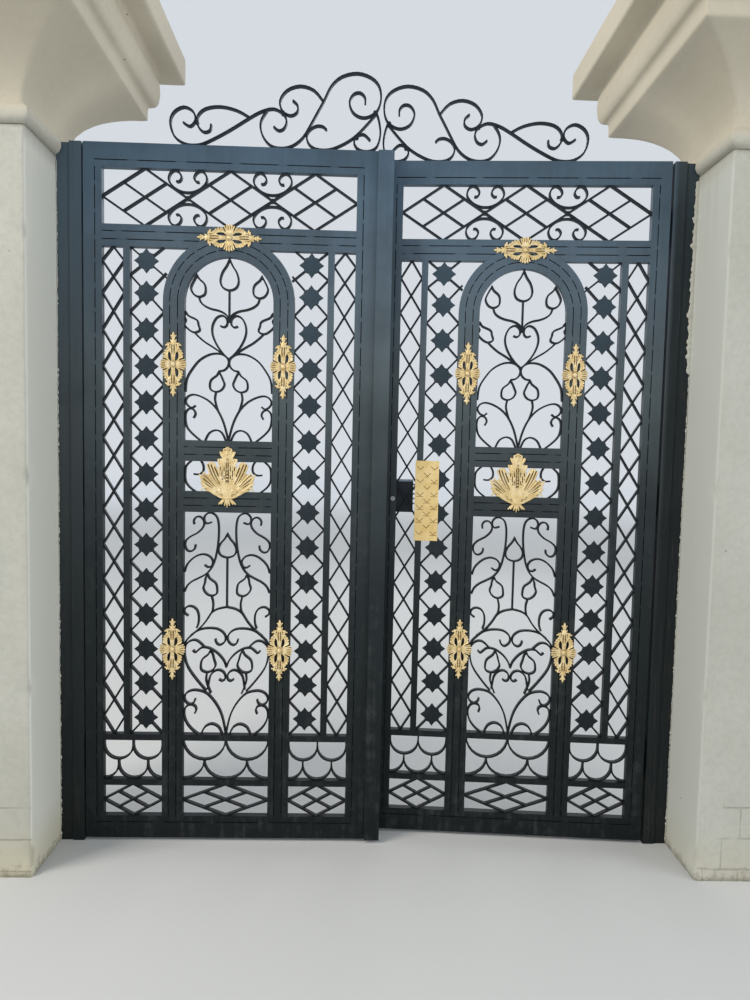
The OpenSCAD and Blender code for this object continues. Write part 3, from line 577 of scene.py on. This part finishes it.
def block(bm, low, high, edge):
    """A block between two corners, with its arrises broken."""
    corners = box_between(bm, Vector(low), Vector(high))
    edges = list({e for v in corners for e in v.link_edges})
    bmesh.ops.bevel(bm, geom=edges, offset=edge, segments=2, affect="EDGES", profile=0.5,
                    material=-1)


def through(points, steps):
    """Points along the smooth curve through a few drawn points."""
    points = [Vector(p) for p in points]
    out = []
    for i in range(len(points) - 1):
        a, b = points[max(i - 1, 0)], points[i]
        c, d = points[i + 1], points[min(i + 2, len(points) - 1)]
        for k in range(steps):
            t = k / steps
            out.append(0.5 * (2 * b + (c - a) * t + (2 * a - 5 * b + 4 * c - d) * t ** 2
                              + (3 * b - a - 3 * c + d) * t ** 3))
    return out + [points[-1]]


# Castings
def along_path(points, radii, spacing):
    """Places and radii along a drawn curve, spaced by a share of the smallest radius."""
    longest = max((Vector(b) - Vector(a)).length for a, b in zip(points, points[1:]))
    path = through(points, max(2, math.ceil(longest / (spacing * min(radii)))))
    for i, p in enumerate(path):
        at = i / (len(path) - 1) * (len(radii) - 1)
        k = min(int(at), len(radii) - 2)
        yield p, radii[k] + (radii[k + 1] - radii[k]) * (at - k)


def rib(bm, points, radii, lift=0.0, flat=0.85):
    """A cast rib along a drawn curve, from (x, z) points and a few radii."""
    balls(bm, (((p.x, -lift - 0.35 * r * flat, p.y), r, (1, flat, 1), 0, 1)
               for p, r in along_path(points, radii, 0.6)))


def web(bm, points, radii):
    """The thin plate behind the ribs, as wide as the radii say."""
    balls(bm, (((p.x, -0.6, p.y), r, (1, WEB_T / r, 1))
               for p, r in along_path(points, radii, 0.4)))


def curl(bm, centre, radius, start, turns, thick, lift):
    """A volute that winds clockwise inwards to an eye."""
    steps = int(turns * 16)
    rows = [((centre[0], -lift - 0.5 * thick, centre[1]), thick * 1.15, (1, 0.8, 1))]
    for i in range(steps + 1):
        t = i / steps
        a = math.radians(start) - turns * 2 * math.pi * t
        r = radius * (1 - 0.72 * t)
        at = (centre[0] + r * math.cos(a), -lift - 0.4 * thick, centre[1] + r * math.sin(a))
        rows.append((at, thick * (1 - 0.35 * t), BEAD, 0, 1))
    balls(bm, rows)


def cast(bm, pitch, rounds=1):
    """Fuses overlapping forms into one skin, as a casting has, and smooths it."""
    pattern = put("pattern", mesh_of("pattern", bm))
    remesh = pattern.modifiers.new("skin", "REMESH")
    remesh.mode = "VOXEL"
    remesh.voxel_size = pitch
    depsgraph = bpy.context.evaluated_depsgraph_get()
    skin = bmesh.new()
    skin.from_mesh(bpy.data.meshes.new_from_object(pattern.evaluated_get(depsgraph)))
    bpy.data.objects.remove(pattern)
    for _ in range(rounds):
        bmesh.ops.smooth_vert(skin, verts=skin.verts, factor=0.5, use_axis_x=True,
                              use_axis_y=True, use_axis_z=True)
    return skin


def flat_backed(bm):
    """Cuts a casting flat just behind the front of the frame, and keeps it as a mesh."""
    bmesh.ops.bisect_plane(bm, geom=everything(bm), plane_co=(0, CAST_BACK, 0),
                           plane_no=(0, 1, 0), clear_outer=True)
    bmesh.ops.holes_fill(bm, edges=[e for e in bm.edges if e.is_boundary])
    return mesh_of("casting", bm)


def mirrored(bm, axis):
    """Adds the mirror image of what has been drawn."""
    made = bmesh.ops.duplicate(bm, geom=everything(bm))["geom"]
    bmesh.ops.transform(bm, matrix=Matrix.Scale(-1, 4, axis),
                        verts=[v for v in made if isinstance(v, bmesh.types.BMVert)])
    bmesh.ops.reverse_faces(bm, faces=[f for f in made if isinstance(f, bmesh.types.BMFace)])


def cartouche_pattern():
    """Upright cartouche: boss, ribbed side fans, pierced arms with bead chains, finials."""
    bm = bmesh.new()
    # long arm of ribs that widens to a crown
    web(bm, [(0, 12), (0, 30), (0, 46), (0, 60), (0, 72)], (5, 6.5, 9, 14, 11))
    rib(bm, [(0, 14), (0, 40), (0, 71)], (1.8, 2.2, 1.9), 4.6)
    rib(bm, [(4.8, 15), (6.2, 32), (8.0, 50), (7, 70)], (1.9, 2.2, 2.3, 2.2), 3.8)
    rib(bm, [(10, 40), (14.5, 52), (16.5, 60), (12.5, 72)], (1.7, 2.6, 3.1, 2.6), 3.0)
    for z, r in ((48, 2.6), (56, 3.2), (65, 2.8)):
        ball(bm, (0, -6.2, z), r, (1, 0.8, 1))
    # ears, neck, collar and pointed finial
    rib(bm, [(14, 60), (19, 65), (25, 64.5)], (3.6, 3.4, 3.6), 1.4)
    ball(bm, (19, -4.0, 70), 3.2, BEAD)
    rib(bm, [(0, 72), (0, 80), (0, 92)], (8.5, 6.0, 4.2), 0, 0.7)
    rib(bm, [(5, 73), (8, 79), (10, 83)], (2.8, 2.8, 2.2), 1.6)
    rib(bm, [(-5.4, 88.5), (5.4, 88.5)], (2.2, 2.2), 3.0)
    rib(bm, [(0, 90), (0, 99), (0, 109)], (3.2, 5.4, 1.6), 1.4, 0.7)
    rib(bm, [(1.5, 91), (6.5, 95), (9.5, 98)], (2.6, 3.0, 2.0), 0.8)
    # scrolled side of the slot with its beads
    web(bm, [(21, 24), (23.5, 34), (20, 46)], (4.5, 5, 4.5))
    rib(bm, [(12, 12.5), (17.5, 18), (19.5, 28), (18.5, 37), (15.5, 46), (12, 54)],
        (2.4, 2.2, 2.1, 2.1, 2.3, 2.4), 2.0)
    rib(bm, [(16, 54), (21.5, 50.5), (27, 43), (28.5, 34), (27, 26), (21, 20)],
        (2.6, 2.8, 2.9, 2.9, 2.7, 2.2), 0.8)
    for x, z, r in ((20, 53, 3.9), (26.5, 45.5, 3.9), (30.5, 37, 3.7), (31, 28.5, 3.3)):
        ball(bm, (x, -3.8, z), r, BEAD)
    # ribbed side fan that ends in lobes
    web(bm, [(12, 3), (24, 7), (34, 8)], (8, 12, 9))
    for path, thick in (
        ([(14.5, 0), (28, 0), (43.5, 0)], 2.7), ([(14.5, 4.2), (28, 7.0), (42.0, 8.6)], 2.5),
        ([(14, 8.0), (26, 13.2), (38.0, 16.6)], 2.4), ([(13, 11.0), (21, 18.0), (31, 23.5)], 2.4),
    ):
        rib(bm, path, (thick * 0.65, thick * 0.85, thick * 1.25), 3.8)
    mirrored(bm, (1, 0, 0))
    mirrored(bm, (0, 0, 1))
    # boss in its beaded rim
    ball(bm, (0, -4.4, 0), 7.4, (1, 0.85, 1.15), detail=3)
    web(bm, [(0, -8), (0, 8)], (9.5, 9.5))
    balls(bm, (((11.4 * math.cos(a), -3.4, 12.8 * math.sin(a)), 1.6, (1, 1, 1), 0, 1)
               for a in (math.pi * i / 10 for i in range(20))))
    return flat_backed(cast(bm, CARTOUCHE_PITCH))


def palmette_pattern():
    """Palmette: a fan of ribbed leaves over volutes, a tassel below, curls and a bud above."""
    bm = bmesh.new()
    # fan of leaves, each a web with its ribs
    for path, radii in (
        ([(13, 24), (33, 60), (47, 92), (56, 111)], (6, 12, 15, 15)),
        ([(30, 40), (46, 62), (60, 78)], (8, 12, 12)),
        ([(23, 20), (52, 46), (70, 63), (79, 72)], (6, 10, 14, 14)),
        ([(28, 15), (56, 31), (74, 42), (80, 45)], (6, 9, 9, 8)),
        ([(0, 8), (16, 14), (30, 15)], (9, 10, 9)),
    ):
        web(bm, path, radii)
    for path, thick, lift in (
        ([(9, 38), (22, 68), (34, 99), (46, 124)], 3.6, 3.0),
        ([(14, 37), (29, 66), (43, 98), (54, 126)], 3.7, 4.0),
        ([(19, 36), (37, 64), (52, 95), (62, 124)], 3.7, 4.0),
        ([(24, 35), (43, 60), (60, 89), (70, 117)], 3.7, 3.0),
        ([(29, 34), (48, 55), (67, 77), (82, 91)], 3.3, 3.2),
        ([(33, 31), (52, 50), (74, 69), (95, 83)], 3.6, 4.0),
        ([(36, 28), (55, 44), (77, 60), (91, 72)], 3.5, 3.8),
        ([(39, 25), (57, 38), (78, 52), (88, 62)], 3.2, 3.0),
        ([(41, 22), (58, 32), (76, 44), (91, 54)], 3.1, 3.4),
        ([(34, 14), (52, 24), (70, 37), (82, 38), (88, 31)], 3.4, 3.0),
        ([(26, 7), (44, 15), (60, 26), (74, 30)], 3.2, 1.8),
    ):
        rib(bm, path, (thick * 0.5, thick * 0.66, thick * 0.88, thick * 1.05), lift)
    curl(bm, (24, 25), radius=9.5, start=230, turns=2.0, thick=1.7, lift=5.2)
    # bowl and tassel
    rib(bm, [(0, 4), (12, 4), (28, 8)], (5.6, 5.2, 3.6), 2.6)
    for x in (2.6, 7.8, 13):
        rib(bm, [(x * 0.8, 6), (x, 14), (x * 0.8, 26)], (2.2, 2.5, 1.8), 4.8)
    web(bm, [(0, 0), (0, -10)], (15, 14))
    for path, radii, lift in (
        ([(4, 0), (6, -12), (9, -22)], (2.8, 3.4, 2.4), 3.4),
        ([(10, -1), (15, -10), (20, -17)], (3.0, 3.3, 2.6), 2.8),
        ([(14, -2), (21, -9), (28, -17)], (3.0, 3.2, 3.4), 1.6),
    ):
        rib(bm, path, radii, lift)
    # middle leaf up to the column
    edge = ((13, 20), (24, 50), (30, 78), (30, 100), (28, 118), (22, 134), (18, 150), (14, 164))
    for share in (0.28, 0.52, 0.76, 1):
        rib(bm, [((x - 2.4) * share, z) for x, z in edge],
            (1.8, 2.3, 2.4, 2.4, 2.3, 2.0, 1.8, 1.7), 5.2 - 2.0 * share)
    for x, z, r in ((30, 88, 3.4), (31, 100, 3.6), (30, 112, 3.4)):
        ball(bm, (x, -2.4, z), r, BEAD)
    # curls beside the column
    for path, low, high in (([(22, 116), (29, 126), (31, 136)], (20, 122), (23, 134)),
                            ([(15, 143), (21, 152), (24, 161)], (13, 148), (17, 158))):
        rib(bm, path, (3.6, 4.2, 4.6), 2.0)
        web(bm, [low, high], (9, 7))
    # lobes of the bud
    rib(bm, [(9, 161), (13.5, 167), (12, 173)], (3.4, 4.0, 3.0), 1.6)
    mirrored(bm, (1, 0, 0))
    web(bm, [(0, z) for _, z in edge], [x - 3 for x, _ in edge])
    # beaded vein and the bud's top
    rib(bm, [(0, 22), (0, 55)], (1.9, 2.6), 5.4)
    for z, r in ((57, 3.3), (68, 3.7), (79, 3.9), (90, 3.7), (101, 3.3), (118, 2.4), (130, 2.4),
                 (142, 2.4), (156, 2.8)):
        ball(bm, (0, -6.6, z), r, BEAD)
    rib(bm, [(0, 110), (0, 160)], (1.8, 1.8), 4.4)
    rib(bm, [(0, 0), (0, -14), (0, -28)], (2.8, 3.2, 2.0), 3.8)
    web(bm, [(0, 163), (0, 171)], (12, 10))
    rib(bm, [(-10, 172), (0, 176.5), (10, 172)], (3.0, 3.2, 3.0), 2.0)
    ball(bm, (0, -4.6, 165), 3.6, BEAD)
    return flat_backed(cast(bm, PALMETTE_PITCH))


def castings(side, name, pattern, spots):
    """Copies of a casting on a leaf, each with its x, z and turn, bedded against the frame."""
    bm = bmesh.new()
    for x, z, turn in spots:
        bm.from_mesh(pattern)
        bm.verts.ensure_lookup_table()
        place = Matrix.Translation((x, 0, z)) @ Matrix.Rotation(turn, 4, "Y")
        bmesh.ops.transform(bm, verts=bm.verts[-len(pattern.vertices):], matrix=place)
    return piece(side + name, bm, leaf_place(side), side + "_leaf", GILT, smooth=True)


def set_castings(side, cartouche, palmette):
    """Cartouches on the posts of the arch and lying on the transom rail, palmette between."""
    post = POST_X + POST_W / 2
    spots = [(x, z, 0.0) for x in (post, 2 * MID_X - post) for z in CARTOUCHE_ZS]
    spots.append((MID_X, (STRIP_TOP + TRANSOM_Z) / 2, math.pi / 2))
    obj = castings(side, "_cartouche_castings", cartouche, spots)
    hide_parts(side + "_cartouches")
    obj = castings(side, "_palmette_casting", palmette, [(MID_X, PALMETTE_Z, 0.0)])
    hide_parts(side + "_palmette")


# Stars, seams and welds
def star_faces(side):
    """Low pyramids on the faces of the stars."""
    bm = bmesh.new()
    h = (STRIP_TOP - TOP_DIAMOND_H - PANEL_Z) / (STRIP_COUNT - 1)
    zs = [PANEL_Z + h * (i + 0.5) for i in range(STRIP_COUNT - 1)]
    zs.append(STRIP_TOP - TOP_DIAMOND_H / 2)
    points = 4 * len(STAR_REACH)
    for x in (STAR_X, 2 * MID_X - POST_X):
        for z in zs:
            outline = bmesh.ops.create_circle(bm, cap_ends=True, segments=points,
                                              radius=STAR_SIZE / 2)["verts"]
            for k, v in enumerate(outline):
                angle = 2 * math.pi * k / points
                reach = STAR_REACH[k % len(STAR_REACH)] * STAR_SHARE
                v.co = Vector((math.cos(angle), 0, math.sin(angle))) * STAR_SIZE / 2 * reach
            ring = bmesh.ops.extrude_face_region(bm, geom=[outline[0].link_faces[0]])["geom"]
            moved = [v for v in ring if isinstance(v, bmesh.types.BMVert)]
            bmesh.ops.translate(bm, verts=moved, vec=(0, -STAR_STEP, 0))
            face = [f for f in ring if isinstance(f, bmesh.types.BMFace)]
            tip = bmesh.ops.poke(bm, faces=face)["verts"]
            bmesh.ops.translate(bm, verts=tip, vec=(0, -STAR_RISE, 0))
            bmesh.ops.translate(bm, verts=outline + moved + tip,
                                vec=(x + STAR_W / 2, STAR_BED, z))
    piece(side + "_star_faces", bm, leaf_place(side), side + "_leaf", STAR)


def seam_lines():
    """Seams between the main tubes and their edging, with the dashes of their welds."""
    half = SEAM_W / 2
    high, low = EDGING_W - half, CROSS_RAIL_H - EDGING_W + half
    across = [
        (EDGE_L, EDGE_R, LEAF_H - RAIL_H - half), (EDGE_L, EDGE_R, RAIL_H + half),
        (EDGE_L, EDGE_R, TRANSOM_Z - high),
        (EDGE_L, MID_X - CROWN_HALF, STRIP_TOP + high),
        (MID_X + CROWN_HALF, EDGE_R, STRIP_TOP + high),
    ]
    across += [(MID_X - ARCH_R, MID_X + ARCH_R, z + d)
               for z in (PANEL_TOP, MIDDLE_TOP) for d in (high, low)]
    upright = [(x, FOOT_Z, TOP_Z) for x in (STILE_W + half, EDGE_R + EDGING_W - half)]
    inner, outer = ARCH_R + high, ARCH_R + POST_W - high
    upright += [(MID_X + x, FOOT_Z, SPRING_Z) for x in (-outer, -inner, inner, outer)]
    lines = [([(x0, z), (x1, z)], CROSS_DASH) for x0, x1, z in across]
    lines += [([(x, z0), (x, z1)], UPRIGHT_DASH) for x, z0, z1 in upright]
    turns = [math.pi * k / 32 for k in range(33)]
    for r in (inner, outer):
        arc = [(MID_X + r * math.cos(a), SPRING_Z + r * math.sin(a)) for a in turns]
        lines.append((arc, ARCH_DASH))
    return lines


def seam_welds(side):
    """Welds that close the seams here and there, dressed nearly flush."""
    rng = random.Random(side)
    rows = []
    for line, (dash, half) in seam_lines():
        to_next = rng.uniform(0.2, 0.8) * dash
        for a, b in zip(line, line[1:]):
            a, b = Vector(a), Vector(b)
            length = (b - a).length
            along = (b - a) / length
            turn = math.atan2(along.y, along.x)
            while to_next < length:
                reach = half * rng.uniform(0.8, 1.2)
                at = a + along * to_next
                rows.append(((at.x, 1.0, at.y), 1.0, (reach, SEAM_WELD_T, SEAM_WELD_H), turn))
                to_next += reach * 2 + dash * rng.uniform(0.85, 1.15)
            to_next -= length
    bm = bmesh.new()
    balls(bm, rows)
    piece(side + "_seam_welds", bm, leaf_place(side), side + "_leaf", PAINT,
          smooth=True)


def hinge_welds(side):
    """Fillet welds round the ears of the hinges, on the leaf and on the jamb."""
    rng = random.Random(side + "hinges")
    jamb_place = leaf_place("left") if side == "left" else MIRROR_X @ leaf_place("left")
    for name, place, body, material, slot, (x0, x1), up in (
        ("_ear_welds", leaf_place(side), side + "_leaf", PAINT, "leaf_steel", LEAF_EAR,
         EAR_H + EAR_PLAY),
        ("_jamb_welds", jamb_place, "piers", JAMB, "jamb_steel", JAMB_EAR, 0),
    ):
        bm = bmesh.new()
        for low in (z + up for z in HINGE_ZS):
            for edge in (low, low + EAR_H):
                for k in range(EAR_BEADS):
                    at = x0 + (x1 - x0) * (k + 0.5) / EAR_BEADS
                    radius = FILLET_R + rng.uniform(-0.4, 0.4)
                    ball(bm, (at, FILLET_Y, edge), radius, (0.9, 1, 1), detail=1)
        piece(side + name, bm, place, body, material, smooth=True)


# Lock
def lock_chevrons(place):
    """Chevrons engraved on the lock plate, with bars below them further down."""
    x1 = 2 * MID_X - SLIM_X + PLATE_LAP
    z1 = LOCK_Z - PLATE_DROP + PLATE_H / 2
    y = PLATE_FRONT
    bm = bmesh.new()
    for row in range(CHEVRON_ROWS):
        z = z1 - CHEVRON_TOP - CHEVRON_PITCH * row
        for column in CHEVRON_PAIR if row % 2 == 0 else CHEVRON_MIDDLE:
            x = x1 - column
            for hand in (-1, 1):
                rod(bm, (x, y, z - 6), (x + hand * CHEVRON_W, y, z + 6), 1.0, 1.0)
                if row == 1:
                    rod(bm, (x, y, z - 6), (x + hand * CHEVRON_W / 2, y, z - 11), 0.8, 0.8)
            if 3 < row < 9 or column == CHEVRON_PAIR[1] and row > 1:
                rod(bm, (x - CHEVRON_W, y, z - 8.5), (x + CHEVRON_W, y, z - 8.5), 0.9, 0.9)
    piece("lock_plate_chevrons", bm, place, "right_leaf", engraving(), smooth=True)


def lock_rose_and_latch(place):
    """The cylinder's rose with its keyhole, and the latch bits beside the lock."""
    bm = bmesh.new()
    x = EDGE_R + EDGING_W / 2
    rod(bm, (x, -6.5, LOCK_Z), (x, -3.5, LOCK_Z), 8.5, 7.4, sides=32)
    rod(bm, (x, -7.2, LOCK_Z + 2), (x, -6.2, LOCK_Z + 2), 2.4, 2.4, sides=16)
    block(bm, (x - 1.1, -7.2, LOCK_Z - 5), (x + 1.1, -6.2, LOCK_Z + 1), 0.2)
    edge = EDGE_R - CASE_REACH
    for k in range(LATCH_BITS):
        z = LOCK_Z - LATCH_LOW + LATCH_PITCH * k
        block(bm, (edge - 6, 27, z), (edge + 1, 34, z + 6), 0.8)
    piece("lock_rose_and_latch", bm, place, "right_leaf", STEEL)


# Plaster
def worn_pier(side):
    """Pier shaft with uneven faces, eased corners and a few knocks."""
    low, high = (Vector(c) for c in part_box(side + "_pier"))
    centre, size = (low + high) / 2, high - low
    bm = bmesh.new()
    box_between(bm, low, high)
    upright = [e for e in bm.edges if abs(e.verts[0].co.z - e.verts[1].co.z) > 1]
    bmesh.ops.bevel(bm, geom=upright, offset=PIER_ARRIS, segments=4, affect="EDGES",
                    profile=0.5, material=-1)
    for axis in (Vector((1, 0, 0)), Vector((0, 1, 0)), Vector((0, 0, 1))):
        span = size.dot(axis)
        count = int(span / PIER_CELL)
        for k in range(1, count):
            bmesh.ops.bisect_plane(bm, geom=everything(bm), plane_no=axis,
                                   plane_co=low + axis * span * k / count)
    inner = -1 if side == "right" else 1
    corner = centre.x + inner * size.x / 2
    knocks = [(Vector((corner, low.y, z)), reach, depth) for z, reach, depth in KNOCKS]

    def off_face(offset, width):
        """Away from the face that a point belongs to, or 0."""
        return math.copysign(1, offset) if abs(offset) > width / 2 - PIER_SKIN else 0

    for v in bm.verts:
        inward = Vector((off_face(centre.x - v.co.x, size.x),
                         off_face(centre.y - v.co.y, size.y), 0))
        wave = 0.5 + 0.5 * noise.noise(v.co * 3.1 + Vector((0, 0, 5 * inner)))
        ripple = 0.5 + 0.5 * noise.noise(v.co * 17)
        push = 0.0016 * wave + 0.0008 * ripple
        for at, reach, depth in knocks:
            near = (v.co - at).length / reach * (1 + 0.5 * noise.noise(v.co * 60))
            if near < 1:
                push += depth * (1 - near ** 2)
        v.co += inward * push
    obj = piece(side + "_worn_pier", bm, Matrix.Identity(4), "piers", PLASTER,
                smooth=True)
    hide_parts(side + "_pier")


def worn_capital(side):
    """Capital with the soft arrises and uneven skin of hand-drawn plaster, lumpy at the neck."""
    bm = bmesh.new()
    bm.from_mesh(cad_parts[side + "_capital"].data)
    bmesh.ops.remove_doubles(bm, verts=bm.verts, dist=0.00002)
    bm = cast(bm, CAPITAL_PITCH, 2)
    bm.normal_update()
    shift = Vector((0, 0, 7 if side == "right" else 3))
    for v in bm.verts:
        wave = 0.5 + 0.5 * noise.noise(v.co * 5.0 + shift)
        ripple = 0.5 + 0.5 * noise.noise(v.co * 21.0 + shift)
        neck = max(0.0, 1 - abs(v.co.z - NECK_ROLL_Z) / 0.05)
        lump = (0.5 + 0.5 * noise.noise(v.co * 9.0 + shift)) * neck
        v.co -= v.normal * (0.0022 * wave + 0.0012 * ripple + 0.009 * lump)
    obj = piece(side + "_worn_capital", bm, Matrix.Identity(4), "piers", PLASTER,
                smooth=True)
    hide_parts(side + "_capital")


def jamb_plaster(side):
    """Ragged plaster over the joint between pier and jamb, thick high up on the right."""
    rng = random.Random(side + "jamb")
    x = (-1 if side == "left" else 1) * (PIER_X - 1.2)
    rows = []
    z = JAMB_PLASTER_LOW
    while z < JAMB_PLASTER_HIGH:
        heavy = side == "right" and z > HEAVY_FROM
        size = rng.uniform(4.0, 6.0) if heavy else rng.uniform(0.8, 2.6)
        if heavy or rng.random() < 0.75:
            lump = 1 + 0.9 * rng.random() ** 4
            out = size * lump * (2.0 if heavy else 1)
            forward = (1.6 + size * 0.5) * lump
            rows.append(((x, LEAF_Y + 0.4, z), 1.0, (out, forward, size * rng.uniform(1.8, 3.0))))
        z += size * rng.uniform(1.0, 1.8)
    bm = bmesh.new()
    balls(bm, rows)
    piece(side + "_jamb_plaster", cast(bm, JAMB_PLASTER_PITCH), Matrix.Scale(MM, 4), "piers",
          PLASTER, smooth=True)


cartouche, palmette = cartouche_pattern(), palmette_pattern()
for side in ("left", "right"):
    set_castings(side, cartouche, palmette)
    star_faces(side)
    seam_welds(side)
    hinge_welds(side)
    worn_pier(side)
    worn_capital(side)
    jamb_plaster(side)
lock_chevrons(leaf_place("right"))
lock_rose_and_latch(leaf_place("right"))


# Stage
def stage():
    """Plain floor and a pale, even sky."""
    bm = bmesh.new()
    bmesh.ops.create_grid(bm, x_segments=1, y_segments=1, size=FLOOR_HALF)
    mesh = mesh_of("floor", bm)
    mesh.materials.append(pale_floor())
    floor = put("floor", mesh)
    world = bpy.data.worlds.new("studio")
    bpy.context.scene.world = world
    world.use_nodes = True
    background = world.node_tree.nodes["Background"]
    background.inputs["Color"].default_value = linear(232, 238, 245)
    background.inputs["Strength"].default_value = 0.83
    bpy.context.scene.view_settings.view_transform = "Standard"


def lamp(name, at, target, size, power, tint=(1, 1, 1)):
    """A square soft lamp that points at a target."""
    light = bpy.data.lights.new(name, "AREA")
    light.shape, light.size, light.energy, light.color = "SQUARE", size, power, tint
    at = Vector(at)
    turn = (Vector(target) - at).to_track_quat("-Z", "Y").to_matrix().to_4x4()
    put(name, light).matrix_world = Matrix.Translation(at) @ turn


def camera():
    """Camera of the photograph, from its solved place and turn."""
    yaw, pitch, roll = (math.radians(a) for a in (CAMERA_YAW, CAMERA_PITCH, CAMERA_ROLL))
    forward = Vector((math.sin(yaw) * math.cos(pitch), math.cos(yaw) * math.cos(pitch),
                      math.sin(pitch)))
    right = Vector((math.cos(yaw), -math.sin(yaw), 0))
    up = right.cross(forward)
    right, up = (math.cos(roll) * right + math.sin(roll) * up,
                 math.cos(roll) * up - math.sin(roll) * right)
    lens = bpy.data.cameras.new("camera")
    lens.sensor_fit, lens.sensor_width = "HORIZONTAL", SENSOR_W
    lens.lens = FOCAL_LENGTH / PHOTO_W * SENSOR_W
    lens.clip_end = 100
    obj = put("camera", lens)
    turn = Matrix((right, up, -forward)).transposed().to_4x4()
    obj.matrix_world = Matrix.Translation(CAMERA_AT) @ turn
    bpy.context.scene.camera = obj


stage()
lamp("key", (-4.8, -2.7, 4.4), (0.3, 0, 1.9), size=2.2, power=225, tint=(1.0, 0.95, 0.86))
lamp("fill", (5.0, -2.5, 2.0), (-0.6, 0, 1.2), size=3.0, power=85, tint=(0.95, 0.98, 1.0))
lamp("back", (1.5, 5.0, 4.4), (0, 0, 1.6), size=3.0, power=60)
camera()
